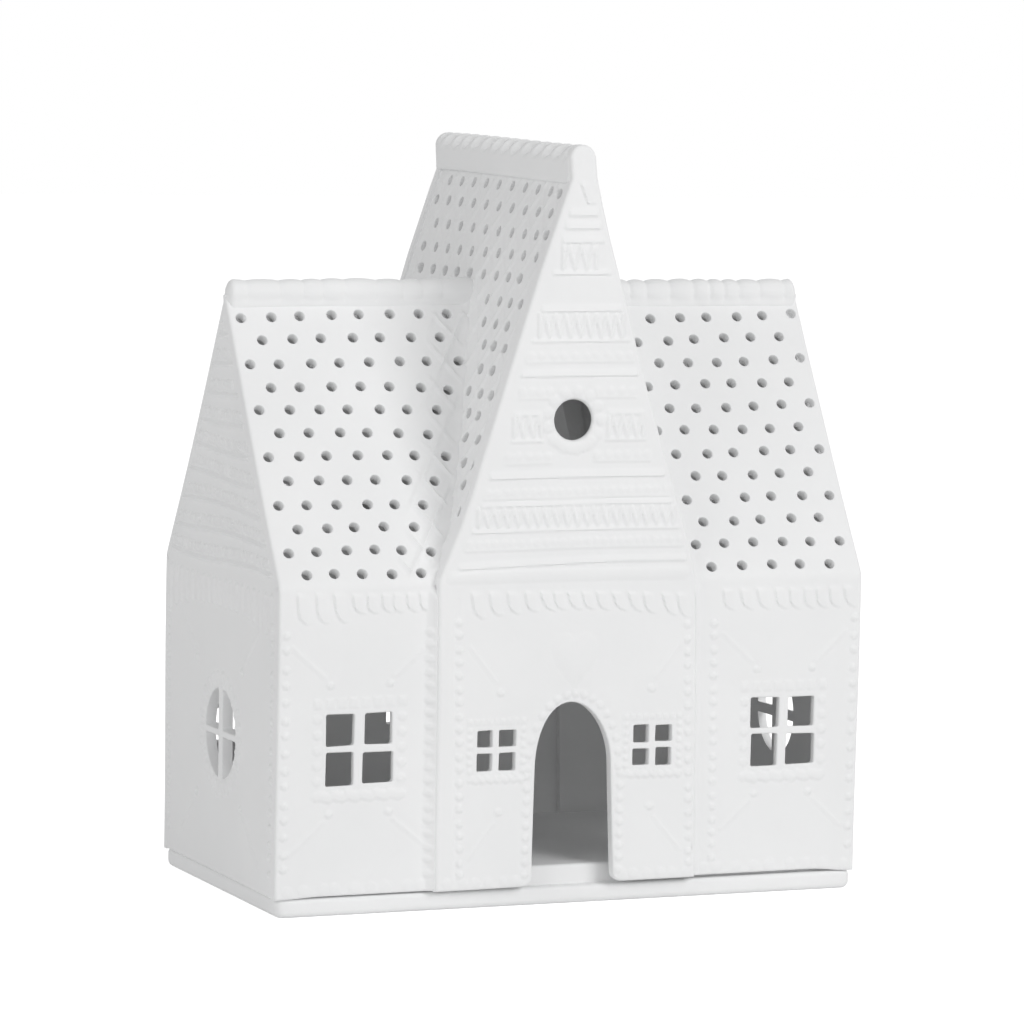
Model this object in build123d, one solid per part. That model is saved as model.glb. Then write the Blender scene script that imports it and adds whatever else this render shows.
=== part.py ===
from build123d import *

import math
import os

# A pierced porcelain tealight house: two wings under one long roof, a centre bay whose tall
# gable crosses them, and a separate base with a raised plinth that the house drops over.
# All lengths are millimetres. +X is the right of the house, +Y its back and +Z up. The
# origin lies on the surface that the base stands on, under the middle of the house.

# Base, one casting: a plate under the walls and a plinth inside them
plate_thickness = 5.2
plate_inset = 1.05  # how far the plate's edge lies inside the outer wall faces
plate_corner = 2.5
plate_lower_bevel = 1.8
plate_upper_bevel = 0.6
plinth_height = 5.5
plinth_clearance = 1.0  # play between the plinth and the inner wall faces
plinth_bevel = 0.8
base_wall = 3.6  # thickness of the floor and of the rim round the hollow underside

# House shell
house_width = 177.0
house_depth = 95.6
wall = 3.0
eave_height = 91.0
wing_ridge_height = 169.0
corner_bevel = 1.2
eave_round = 4.0

# Centre bay at the front and the back, with the gable that stands on both
bay_projection = 2.6
bay_left = 43.2  # from the middle of the house to the bay's left edge
bay_right = 36.2
gable_ridge_offset = 1.6  # how far the tall ridge lies left of the middle
gable_ridge_height = 210.5

# Rolls of clay along the ridges, rolled by hand with flats along them
roll_flats = 12
gable_roll_diameter = 6.0
gable_roll_sink = 1.3  # how far the roll's axis lies below the sharp ridge
wing_roll_diameter = 4.4
wing_roll_rise = 1.4  # how far the roll's axis lies above the sharp ridge

# Doorway at the front, and windows all round
door_width = 24.6
door_height = 52.3
door_arch_height = 18.5
door_foot_round = 2.8
wing_window_width = 20.2
wing_window_height = 20.5
wing_window_place = 64.4  # from the middle of the house to the window's middle
wing_window_level = 46.0  # height of its middle
wing_window_bar = 1.9
bay_window_width = 12.3
bay_window_height = 11.8
bay_window_left = 24.7
bay_window_right = 22.8
back_window_left = 13.4  # the back has no doorway, so its pair stands closer
back_window_right = 10.2
bay_window_level = 44.3
bay_window_bar = 1.5
gable_window_diameter = 11.5
gable_window_offset = 3.0  # how far its middle lies left of the middle of the house
gable_window_level = 136.0
end_window_diameter = 25.2
left_window_offset = 2.2  # how far its middle lies forward of the ridge
right_window_offset = -0.3
end_window_level = 45.0
end_window_bar = 2.0

# Holes that pierce the roofs, in staggered rows
hole_diameter = 3.1
hole_sides = 4  # each hole is a square on its corner with a round hole's area
wing_hole_rows = 12
wing_hole_row_pitch = 7.4
wing_hole_pitch = 8.9
wing_hole_first_row = 7.4  # down the slope from the ridge
wing_hole_first_column = 3.6  # from the end of the house, on the odd rows
wing_hole_valley_margin = 3.5
gable_hole_row_pitch = 6.75
gable_hole_pitch = 9.5
gable_hole_first_row = 11.5
gable_hole_end_margin = 6.5
gable_hole_valley_margin = 7.5

# Tealight, a standard one, stood on the plinth left of what the doorway shows
tealight_diameter = 38.5
tealight_height = 15.5
cup_flutes = 24  # flats that are pressed round the cup's side
tealight_left = 18.0
tealight_back = 4.0
cup_wall = 0.3
cup_rim = 0.6  # how far the rolled rim stands out
wax_below_rim = 1.6
sustainer_diameter = 12.0
sustainer_thickness = 0.4
sustainer_neck_diameter = 3.0
sustainer_neck_height = 3.5
wick_diameter = 1.5
wick_above_wax = 7.0
wick_flats = 8

# Worked out from the sizes above
half_width = house_width / 2
half_depth = house_depth / 2
bay_half_depth = half_depth + bay_projection
foot = plate_thickness
floor_level = plate_thickness + plinth_height
overrun = wall  # what a cutting tool reaches past the face that it cuts
wing_slope = math.hypot(half_depth, wing_ridge_height - eave_height)
gable_rise = gable_ridge_height - eave_height
inner_depth = bay_half_depth - wall


def block(x_range, y_range, z_range):
    """The box between these limits along X, Y and Z."""
    size = [high - low for low, high in (x_range, y_range, z_range)]
    corner = Pos(x_range[0], y_range[0], z_range[0])
    return corner * Box(*size, align=(Align.MIN, Align.MIN, Align.MIN))


def gabled_prism(plane, sides, ridge, base, half_length, inset=0):
    """A house-shaped prism along the plane's normal, drawn in by inset all round."""
    outline = [
        (sides[0], base),
        (sides[1], base),
        (sides[1], eave_height),
        ridge,
        (sides[0], eave_height),
    ]
    profile = Polygon(*outline, align=None)
    if inset:
        profile = offset(profile, -inset, kind=Kind.INTERSECTION)
    return extrude(plane * profile, half_length, both=True)


def softened(prism, axis):
    """The prism with round eaves and a small bevel along both end outlines."""
    eaves = prism.edges().filter_by(axis).filter_by(lambda e: abs(e.center().Z - eave_height) < wall)
    prism = fillet(eaves, min(eave_round, half_depth / 2))
    ends = prism.faces().filter_by(axis)
    outline = ends.edges().filter_by(lambda e: e.center().Z > foot + wall)
    return chamfer(outline, min(corner_bevel, wall / 2))


def wings_prism(base, half_length, inset=0):
    """Both wings under the long roof, with the profile seen from the end."""
    ridge = (0, wing_ridge_height)
    return gabled_prism(Plane.YZ, (-half_depth, half_depth), ridge, base, half_length, inset)


def bay_prism(base, half_length, inset=0):
    """The centre bay and its tall gable, with the profile seen from the front."""
    ridge = (-gable_ridge_offset, gable_ridge_height)
    return gabled_prism(Plane.XZ, (-bay_left, bay_right), ridge, base, half_length, inset)


outer_wings = softened(wings_prism(foot, half_width), Axis.X)
outer_bay = softened(bay_prism(foot, bay_half_depth), Axis.Y)
inner_wings = wings_prism(foot - wall - overrun, half_width - wall, wall)
inner_bay = bay_prism(foot - wall - overrun, inner_depth, wall)
shell = (outer_wings + outer_bay) - (inner_wings + inner_bay)

# Limits that the shell is parted at
all_heights = (foot - overrun, gable_ridge_height + overrun)
wall_heights = (foot - overrun, eave_height)
roof_heights = (eave_height, gable_ridge_height + overrun)
left_of_ridge = (-half_width + wall, -gable_ridge_offset)
right_of_ridge = (-gable_ridge_offset, half_width - wall)
front_half = (-bay_half_depth - overrun, 0)
bay_slab = block((-bay_left, bay_right), (-bay_half_depth, -inner_depth), all_heights)


def paned_window(width, height, bar):
    """Four panes, as a sketch round the window's middle, with the glazing bars left standing."""
    pane = Rectangle((width - bar) / 2, (height - bar) / 2)
    return Sketch() + GridLocations((width + bar) / 2, (height + bar) / 2, 2, 2) * pane


def cut_front(part, sketch, x, z):
    """The part with the sketch cut through it, front to back, in the front half."""
    tool = extrude(Plane.XZ * Pos(x, z) * sketch, bay_half_depth + overrun)
    return part - tool


def doorway():
    """The doorway's outline: straight jambs under half an ellipse, from below the walls."""
    spring = door_height - door_arch_height
    jambs = Pos(0, (spring - overrun) / 2) * Rectangle(door_width, spring + overrun)
    arch = Pos(0, spring) * Ellipse(door_width / 2, door_arch_height)
    return jambs + arch


def centre_wall(window_left, window_right):
    """Wall of the bay with its gable, a round window and a pair of small windows."""
    panes = paned_window(bay_window_width, bay_window_height, bay_window_bar)
    slab = cut_front(shell & bay_slab, panes, -window_left, bay_window_level)
    slab = cut_front(slab, panes, window_right, bay_window_level)
    round_window = Circle(gable_window_diameter / 2)
    return cut_front(slab, round_window, -gable_window_offset, gable_window_level)


def with_doorway(slab):
    """The bay's wall with the doorway cut in it, whose jambs are round at the foot."""
    slab = cut_front(slab, doorway(), -gable_ridge_offset, foot)
    foot_edges = slab.edges().filter_by(Axis.Y).group_by(Axis.Z)[0]
    jambs = foot_edges.filter_by(lambda e: abs(e.center().X + gable_ridge_offset) < door_width)
    return fillet(jambs, min(door_foot_round, door_height / 4))


def wing_wall(span, side):
    """Front wall of one wing, with its return behind the edge of the bay."""
    part = (shell & block(span, front_half, wall_heights)) - bay_slab
    panes = paned_window(wing_window_width, wing_window_height, wing_window_bar)
    return cut_front(part, panes, side * wing_window_place, wing_window_level)


def left_end_wall(window_offset):
    """Gabled end wall of the left wing, with its round window parted by a cross."""
    end_span = (-half_width, -half_width + wall)
    part = shell & block(end_span, (-half_depth, half_depth), all_heights)
    opening = Circle(end_window_diameter / 2)
    opening -= Rectangle(end_window_bar, end_window_diameter)
    opening -= Rectangle(end_window_diameter, end_window_bar)
    place = Plane.YZ * Pos(-window_offset, end_window_level)
    return part - extrude(place * opening, -half_width - overrun)


def gable_run(height, side):
    """Distance from the tall ridge out to its roof face at a height, on side -1 or 1."""
    half = bay_left - gable_ridge_offset if side < 0 else bay_right + gable_ridge_offset
    return half * (gable_ridge_height - height) / gable_rise


def wing_holes(side):
    """Places of one wing's roof holes, as X and the distance down the slope."""
    places = []
    for row in range(wing_hole_rows):
        down = wing_hole_first_row + row * wing_hole_row_pitch
        height = wing_ridge_height - down * (wing_ridge_height - eave_height) / wing_slope
        valley = gable_run(height, side) - side * gable_ridge_offset
        stagger = wing_hole_pitch / 2 if row % 2 else 0
        reach = half_width - wing_hole_first_column - stagger
        while reach > valley + wing_hole_valley_margin:
            places.append((side * reach, -down))
            reach -= wing_hole_pitch
    return places


def gable_holes(side):
    """Places of one tall roof's holes, as Y and the distance down the slope."""
    slope = math.hypot(gable_run(eave_height, side), gable_rise)
    places = []
    row = 0
    down = gable_hole_first_row
    while down < slope - gable_hole_valley_margin:
        height = gable_ridge_height - down * gable_rise / slope
        below = max(wing_ridge_height - height, 0) / (wing_ridge_height - eave_height)
        valley = below * half_depth
        least = valley + gable_hole_valley_margin if below else -gable_hole_pitch
        out = gable_hole_pitch / 2 if row % 2 else 0
        while out < bay_half_depth - gable_hole_end_margin:
            if out > least:
                places += [(end * out, -down) for end in ((-1, 1) if out else (1,))]
            out += gable_hole_pitch
        row += 1
        down += gable_hole_row_pitch
    return places


def pierce(part, plane, places):
    """The roof slab with a hole square through it at each place on the plane."""
    share = hole_sides * math.sin(math.tau / hole_sides) / math.tau  # of its circle's area
    hole = RegularPolygon(hole_diameter / 2 / math.sqrt(share), hole_sides)
    holes = [plane * Pos(*place) * hole for place in places]
    tools = [extrude(item, wall + overrun, both=True) for item in holes]
    return part - tools


def wing_roof(span, side):
    """Front slope of one wing's roof, from its end wall to the valley beside the tall gable."""
    slab = (outer_wings - inner_wings) - outer_bay
    slab = slab & block(span, front_half, roof_heights)
    rise = wing_ridge_height - eave_height
    plane = Plane(origin=(0, 0, wing_ridge_height), x_dir=(1, 0, 0), z_dir=(0, -rise, half_depth))
    return pierce(slab, plane, wing_holes(side))


def gable_roof(span, side):
    """One slope of the tall roof, between the two gables, with its foot cut to both valleys."""
    slab = (outer_bay - inner_bay) - inner_wings
    slab = slab & block(span, (-inner_depth, inner_depth), roof_heights)
    run = gable_run(eave_height, side)
    ridge = (-gable_ridge_offset, 0, gable_ridge_height)
    plane = Plane(origin=ridge, x_dir=(0, side, 0), z_dir=(side * gable_rise, 0, run))
    return pierce(slab, plane, gable_holes(side))


def roll(diameter, length):
    """Roll of clay with bevelled ends, centred on the origin along Z."""
    part = extrude(RegularPolygon(diameter / 2, roll_flats), length / 2, both=True)
    rims = part.faces().filter_by(Axis.Z).edges()
    return chamfer(rims, diameter / 6)


def gable_ridge_roll():
    """Roll along the tall ridge, notched to sit on both slopes."""
    axis = Plane(origin=(-gable_ridge_offset, 0, gable_ridge_height - gable_roll_sink), z_dir=(0, 1, 0))
    part = axis * roll(gable_roll_diameter, 2 * bay_half_depth)
    return part - bay_prism(foot, bay_half_depth + overrun)


def wing_ridge_roll(side):
    """Roll along one wing's ridge, from its end to the tall roof."""
    level = wing_ridge_height + wing_roll_rise
    inner = gable_run(level, side) - side * gable_ridge_offset
    length = half_width - inner + wing_roll_diameter
    axis = Plane(origin=(side * (half_width - length / 2), 0, level), z_dir=(1, 0, 0))
    part = axis * roll(wing_roll_diameter, length)
    return part - wings_prism(foot, half_width + overrun) - bay_prism(foot, bay_half_depth)


def base_outline(inset, corner):
    """Rounded rectangle that lies inside the outer wall faces by inset."""
    return RectangleRounded(house_width - 2 * inset, house_depth - 2 * inset, corner)


plinth_inset = wall + plinth_clearance
hollow_inset = plinth_inset + base_wall


def base_plate():
    """Plate that the walls stand on, soft along its lower edge and open under the plinth."""
    part = extrude(base_outline(plate_inset, plate_corner), plate_thickness)
    part = chamfer(part.edges().group_by(Axis.Z)[0], min(plate_lower_bevel, plate_thickness / 2))
    part = chamfer(part.edges().group_by(Axis.Z)[-1], min(plate_upper_bevel, plate_thickness / 4))
    return part - extrude(base_outline(hollow_inset, plate_corner), plate_thickness)


def base_plinth():
    """Raised floor inside the walls, which centres the house, hollow from below."""
    part = extrude(base_outline(plinth_inset, plate_corner), plinth_height)
    part = chamfer(part.edges().group_by(Axis.Z)[-1], min(plinth_bevel, plinth_height / 4))
    hollow = extrude(base_outline(hollow_inset, plate_corner), plinth_height - base_wall)
    return Pos(0, 0, plate_thickness) * (part - hollow)


cup_bore = tealight_diameter / 2 - cup_wall
cup_rim_level = tealight_height - cup_rim
tab_top = cup_wall + sustainer_thickness
neck_top = tab_top + sustainer_neck_height
wax_level = tealight_height - wax_below_rim


def in_tealight(radius, flats, bottom, top):
    """Flat-sided cylinder on the tealight's axis, between two heights over the cup's base."""
    place = Pos(-tealight_left, tealight_back, floor_level + bottom)
    return place * extrude(RegularPolygon(radius, flats), top - bottom)


def wick_tab():
    """Round tab on the cup's floor, with the neck that grips the wick."""
    tab = in_tealight(sustainer_diameter / 2, roll_flats, cup_wall, tab_top)
    return tab + in_tealight(sustainer_neck_diameter / 2, wick_flats, tab_top, neck_top)


def tealight_cup():
    """Thin metal cup with a rim that stands out."""
    body = in_tealight(tealight_diameter / 2, cup_flutes, 0, tealight_height)
    rim = in_tealight(tealight_diameter / 2 + cup_rim, cup_flutes, cup_rim_level, tealight_height)
    return body + rim - in_tealight(cup_bore, cup_flutes, cup_wall, tealight_height + overrun)


def tealight_wick():
    """Straight cotton wick, from the cup's floor to above the wax."""
    return in_tealight(wick_diameter / 2, wick_flats, cup_wall, wax_level + wick_above_wax)


def wick_sustainer():
    """The wick's tab, bored for the wick."""
    return wick_tab() - tealight_wick()


def tealight_wax():
    """Wax that fills the cup round the wick and over its tab."""
    fill = in_tealight(cup_bore, cup_flutes, cup_wall, wax_level)
    return fill - wick_tab() - tealight_wick()


front_centre_wall = with_doorway(centre_wall(bay_window_left, bay_window_right))
back_centre_wall = centre_wall(back_window_left, back_window_right)
front_left_wall = wing_wall(left_of_ridge, -1)
front_right_wall = wing_wall(right_of_ridge, 1)
left_front_roof = wing_roof(left_of_ridge, -1)
right_front_roof = wing_roof(right_of_ridge, 1)

nodes = {
    "base_plate": base_plate(),
    "base_plinth": base_plinth(),
    "front_centre_wall": front_centre_wall,
    "front_left_wall": front_left_wall,
    "front_right_wall": front_right_wall,
    "left_front_roof": left_front_roof,
    "right_front_roof": right_front_roof,
    "back_centre_wall": mirror(back_centre_wall, about=Plane.XZ),
    "back_left_wall": mirror(front_left_wall, about=Plane.XZ),
    "back_right_wall": mirror(front_right_wall, about=Plane.XZ),
    "left_back_roof": mirror(left_front_roof, about=Plane.XZ),
    "right_back_roof": mirror(right_front_roof, about=Plane.XZ),
    "left_end_wall": left_end_wall(left_window_offset),
    "right_end_wall": mirror(left_end_wall(right_window_offset), about=Plane.YZ),
    "gable_left_roof": gable_roof(left_of_ridge, -1),
    "gable_right_roof": gable_roof(right_of_ridge, 1),
    "gable_ridge_roll": gable_ridge_roll(),
    "left_ridge_roll": wing_ridge_roll(-1),
    "right_ridge_roll": wing_ridge_roll(1),
    "tealight_cup": tealight_cup(),
    "tealight_wax": tealight_wax(),
    "tealight_wick": tealight_wick(),
    "wick_sustainer": wick_sustainer(),
}

os.makedirs("parts", exist_ok=True)
for name, part in nodes.items():
    export_step(part, f"parts/{name}.step")
    print(name, len(part.solids()), "solid", round(part.volume), "cubic mm")
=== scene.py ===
"""White porcelain tealight house: soft slabs with raised ornament, dressed over the frame.

Lengths are millimetres until a mesh is written. +X is the right of the house, +Y its back
and +Z up.
"""

import logging
import math
from dataclasses import dataclass, field
from enum import Enum
from typing import Callable

import bpy
import numpy as np
from mathutils import Matrix
from mathutils.geometry import delaunay_2d_cdt


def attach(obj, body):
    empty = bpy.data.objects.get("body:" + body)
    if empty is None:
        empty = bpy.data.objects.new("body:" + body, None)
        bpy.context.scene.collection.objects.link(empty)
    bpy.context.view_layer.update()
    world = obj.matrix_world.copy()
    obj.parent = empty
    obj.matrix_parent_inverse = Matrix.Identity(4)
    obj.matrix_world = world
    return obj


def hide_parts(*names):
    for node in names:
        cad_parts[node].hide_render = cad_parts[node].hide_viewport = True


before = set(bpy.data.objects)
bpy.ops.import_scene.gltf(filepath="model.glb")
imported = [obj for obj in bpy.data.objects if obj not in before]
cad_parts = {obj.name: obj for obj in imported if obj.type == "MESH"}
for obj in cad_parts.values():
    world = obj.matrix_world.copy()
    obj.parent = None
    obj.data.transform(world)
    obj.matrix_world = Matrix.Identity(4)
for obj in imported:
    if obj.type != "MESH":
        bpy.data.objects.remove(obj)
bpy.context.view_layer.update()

MM = 0.001
LOG = logging.getLogger("tealight_house")
Array = np.ndarray
Pair = tuple[float, float]
Triple = tuple[float, float, float]
Height = Callable[[Array, Array], Array]
Move = Callable[[Array], Array]
Piece = bpy.types.Object
Material = bpy.types.Material
Tree = bpy.types.NodeTree
Socket = bpy.types.NodeSocket


# House sizes, as in the solids
FOOT = 5.2
EAVE = 91.0
HALF_WIDTH = 88.5
HALF_DEPTH = 47.8
WING_RIDGE = 169.0
WALL = 3.0
BAY_LEFT = -43.2
BAY_RIGHT = 36.2
BAY_HALF_DEPTH = 50.4
RIDGE_X = -1.6
GABLE_RIDGE = 210.5
PLINTH_TOP = 10.7
WING_RISE = WING_RIDGE - EAVE
GABLE_RISE = GABLE_RIDGE - EAVE
SLOPE = math.hypot(HALF_DEPTH, WING_RISE)  # length of the long roof down its slope
RAISE = 0.6  # the most that ornament stands above the field of a wall
ROUND = 1.6  # how far from their edge the eaves are rounded

ACROSS = (1.0, 0.0, 0.0)
UP = (0.0, 0.0, 1.0)
CORNERS = ((-1, -1), (-1, 1), (1, -1), (1, 1))
FRONT_AND_BACK = (("front", 1.0), ("back", -1.0))


class Body(Enum):
    """Bodies of the frame that pieces ride on."""

    BASE = "base"
    HOUSE = "house"
    TEALIGHT = "tealight"


def unit(vector: tuple[float, ...]) -> Array:
    """The vector divided by its length."""
    array = np.asarray(vector, float)
    return array / np.linalg.norm(array)


def smooth(low: float, high: float, value: Array) -> Array:
    """Smooth step: 0 below low, 1 above high, and t * t * (3 - 2 t) between them."""
    share = np.clip((value - low) / (high - low), 0.0, 1.0)
    return share * share * (3.0 - 2.0 * share)


def bay_edge(side: int) -> float:
    """X of the bay's edge at the left, for a side of -1, or at the right, for 1."""
    return BAY_LEFT if side < 0 else BAY_RIGHT


def bay_half(side: int) -> float:
    """Width of the bay from its ridge to its edge on one side."""
    return side * (bay_edge(side) - RIDGE_X)


def roof_out(level: Array | float) -> Array | float:
    """How far the long roof stands from the middle of the house at a height."""
    return HALF_DEPTH * (WING_RIDGE - level) / WING_RISE


def settle(points: Array) -> Array:
    """Gives the house the small unevenness of slabs joined by hand.

    The eaves' edges sink as the square of what a point lacks to ROUND from the edge. The
    bay's edges lean sideways in proportion to the depth below the eaves, the foot arches
    over the base under the bay, and sine waves a few centimetres long move all.

    Args:
        points: Places on the sharp house, one a row.

    Returns:
        The moved places.
    """
    x, y, z = points.T
    away = np.hypot(np.abs(y) - HALF_DEPTH, z - EAVE)
    sink = np.clip(ROUND - away, 0.0, None) ** 2 / 11.4
    y, z = y - 0.9625 * sink * np.sign(y), z - 0.2714 * sink
    below = np.clip((EAVE - z) / (EAVE - FOOT), 0.0, 1.0)
    fade = 1.0 - smooth(EAVE, EAVE + 12.0, z)
    left = np.exp(-(((x - BAY_LEFT) / 16.0) ** 2))
    right = np.exp(-(((x - BAY_RIGHT) / 14.0) ** 2))
    lean = fade * (left * (0.1 + 1.1 * below) + right * (1.6 * below - 0.9))
    height = smooth(FOOT, FOOT + 25.0, z)
    arch = 0.5 + 0.5 * smooth(-45.0, 20.0, x)
    arch = arch * (1.0 - smooth(74.0, 88.0, np.abs(x))) * (1.0 - height)
    wave_x = 0.22 * np.sin(z / 19.0 + 0.8) * np.sin(y / 33.0 + 0.5)
    wave_y = 0.2 * (np.sin(x / 21.0 + 0.4) * np.sin(z / 27.0 + 1.1) - 1.0) * np.sign(y)
    wave_z = 0.3 * np.sin(x / 31.0 + 2.2) * height
    wave_z += 0.55 * np.exp(-(((z - EAVE) / 16.0) ** 2)) * (1.0 - smooth(48.6, 49.8, np.abs(y)))
    inward = smooth(0.0, 12.0, np.abs(y))
    return np.stack([x + lean + wave_x, y + wave_y * inward, z + arch + wave_z], axis=1)


@dataclass(frozen=True)
class Facet:
    """A flat face in space: one of its points, and the directions of its u and v."""

    origin: Triple
    along: Triple
    up: Triple

    def place(self, flat: Array, lift: Array) -> Array:
        """Point = origin + u * along + v * up + lift * (along x up).

        Args:
            flat: Rows of u and v.
            lift: Height over the face, for each row.

        Returns:
            Rows of x, y and z.
        """
        along = unit(self.along)
        up = unit(self.up)
        normal = np.cross(along, up)
        spread = flat[:, :1] * along + flat[:, 1:] * up
        return np.asarray(self.origin, float) + spread + lift[:, None] * normal


@dataclass(frozen=True)
class Loop:
    """A closed outline on a face, with clay on the left of its direction of travel."""

    points: Array
    shift: Array
    rim: Array

    def ring(self, angle: float) -> tuple[Array, Array]:
        """One ring of the round edge: inset shift (1 - sin a), depth rim (1 - cos a).

        Args:
            angle: 0 on the face and a quarter turn on the cut side.

        Returns:
            The ring's u and v, and its depths.
        """
        inset = self.shift * (1.0 - math.sin(angle))
        return self.points - inset, self.rim * (1.0 - math.cos(angle))


def rounded_path(corners: list[Pair], radii: list[float], rims: list[float], step: float) -> Loop:
    """Polygon with round corners: straight runs, and arcs of centre c and radius r.

    At a sharp corner the inset w of the round edge solves n1 . w = rim1 and n2 . w = rim2.

    Args:
        corners: Corners in order, with clay on the left.
        radii: Radius at each corner, where 0 keeps it sharp.
        rims: Radius of the rounded edge along the side that leaves each corner.
        step: Spacing of the points.

    Returns:
        The loop of points.
    """
    places, shifts, widths = [], [], []
    count = len(corners)
    spots = np.asarray(corners, float)
    ways = [unit(spots[(k + 1) % count] - spots[k]) for k in range(count)]
    turns = [math.atan2(ways[k - 1][0] * ways[k][1] - ways[k - 1][1] * ways[k][0],
                        float(ways[k - 1] @ ways[k])) for k in range(count)]
    cuts = [radii[k] * math.tan(abs(turns[k]) / 2.0)
            or (max(rims[k - 1], rims[k]) if abs(turns[k]) > 0.7 else 0.0) for k in range(count)]
    for index in range(count):
        into, out = ways[index - 1], ways[index]
        turn, radius, spot = turns[index], radii[index], spots[index]
        before, after = rims[index - 1], rims[index]
        right_in = np.array([into[1], -into[0]])
        right_out = np.array([out[1], -out[0]])
        if radius < 1e-6:
            shift = right_out * after
            if abs(turn) > 0.02:
                shift = np.linalg.solve(np.array([right_in, right_out]), np.array([before, after]))
            places.append(spot[None])
            shifts.append(shift[None])
            widths.append(np.array([max(before, after)]))
        else:
            side = math.copysign(1.0, turn)
            first = spot - into * cuts[index]
            centre = first - right_in * radius * side
            parts = max(3, math.ceil(abs(turn) * radius / step))
            share = np.linspace(0.0, 1.0, parts + 1)
            angles = math.atan2(*(first - centre)[::-1]) + turn * share
            radial = np.stack([np.cos(angles), np.sin(angles)], axis=1)
            rim = before + (after - before) * share
            places.append(centre + radius * radial)
            shifts.append(side * radial * rim[:, None])
            widths.append(rim)
        following = (index + 1) % count
        begin = spot + out * cuts[index]
        end = spots[following] - out * cuts[following]
        parts = max(1, round(float(np.linalg.norm(end - begin)) / step))
        shares = np.arange(1, parts)[:, None] / parts
        places.append(begin + (end - begin) * shares)
        shifts.append(np.tile(right_out * after, (parts - 1, 1)))
        widths.append(np.full(parts - 1, after))
    return Loop(np.concatenate(places), np.concatenate(shifts), np.concatenate(widths))


def round_hole(centre: Pair, radius: float, count: int, rim: float) -> Loop:
    """Circle of clay-side points round an opening: centre + r (cos a, -sin a)."""
    angles = -np.linspace(0.0, math.tau, count, endpoint=False)
    radial = np.stack([np.cos(angles), np.sin(angles)], axis=1)
    points = np.asarray(centre, float) + radius * radial
    return Loop(points, -radial * rim, np.full(count, rim))


def pane_holes(centre: Pair, size: Pair, bars: Pair, corner: float, rim: float,
               step: float) -> list[Loop]:
    """Four hand-cut panes round a cross of glazing bars, with round corners.

    Args:
        centre: Middle of the window.
        size: Width and height over all four panes.
        bars: Widths of the upright and of the level bar.
        corner: Radius of the panes' corners.
        rim: Radius of their edges.
        step: Spacing of the points.

    Returns:
        One loop a pane.
    """
    loops = []
    half_w, half_h = (size[0] - bars[0]) / 4.0, (size[1] - bars[1]) / 4.0
    skew = size[0] * 0.012
    for side_u, side_v in CORNERS:
        mid_u = centre[0] + side_u * (size[0] + bars[0]) / 4.0
        mid_v = centre[1] + side_v * (size[1] + bars[1]) / 4.0
        corners = []
        for end_u, end_v in ((-1, -1), (-1, 1), (1, 1), (1, -1)):
            turn = mid_u * 1.3 + mid_v * 2.1 + end_u * 1.7 + end_v * 2.9
            corners.append((mid_u + end_u * half_w + skew * math.sin(turn),
                            mid_v + end_v * half_h + skew * math.cos(turn * 1.6)))
        loops.append(rounded_path(corners, [corner] * 4, [rim] * 4, step))
    return loops


def quarter_holes(centre: Pair, diameter: float, bars: Pair, corner: float, rim: float,
                  step: float) -> list[Loop]:
    """Four quarters of a round window, parted by a cross of bars.

    Args:
        centre: Middle of the window.
        diameter: Diameter over all four quarters.
        bars: Widths of the upright and of the level bar.
        corner: Radius of each quarter's corners.
        rim: Radius of their edges.
        step: Spacing of the points.

    Returns:
        One loop a quarter.
    """
    loops = []
    radius, half_u, half_v = diameter / 2.0, bars[0] / 2.0, bars[1] / 2.0
    arc = np.linspace(math.asin(half_v / radius), math.acos(half_u / radius), 9)[1:-1]
    quarter = [(half_u, half_v), (half_u, math.sqrt(radius ** 2 - half_u ** 2))]
    quarter += [(radius * math.cos(a), radius * math.sin(a)) for a in arc[::-1]]
    quarter += [(math.sqrt(radius ** 2 - half_v ** 2), half_v)]
    radii = [corner, corner] + [0.0] * len(arc) + [corner]
    for side_u, side_v in ((1, 1), (1, -1), (-1, -1), (-1, 1)):
        corners = [(centre[0] + side_u * a, centre[1] + side_v * b) for a, b in quarter]
        order = radii
        if side_u * side_v < 0:
            corners, order = corners[::-1], radii[::-1]
        loops.append(rounded_path(corners, order, [rim] * len(order), step))
    return loops


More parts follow.
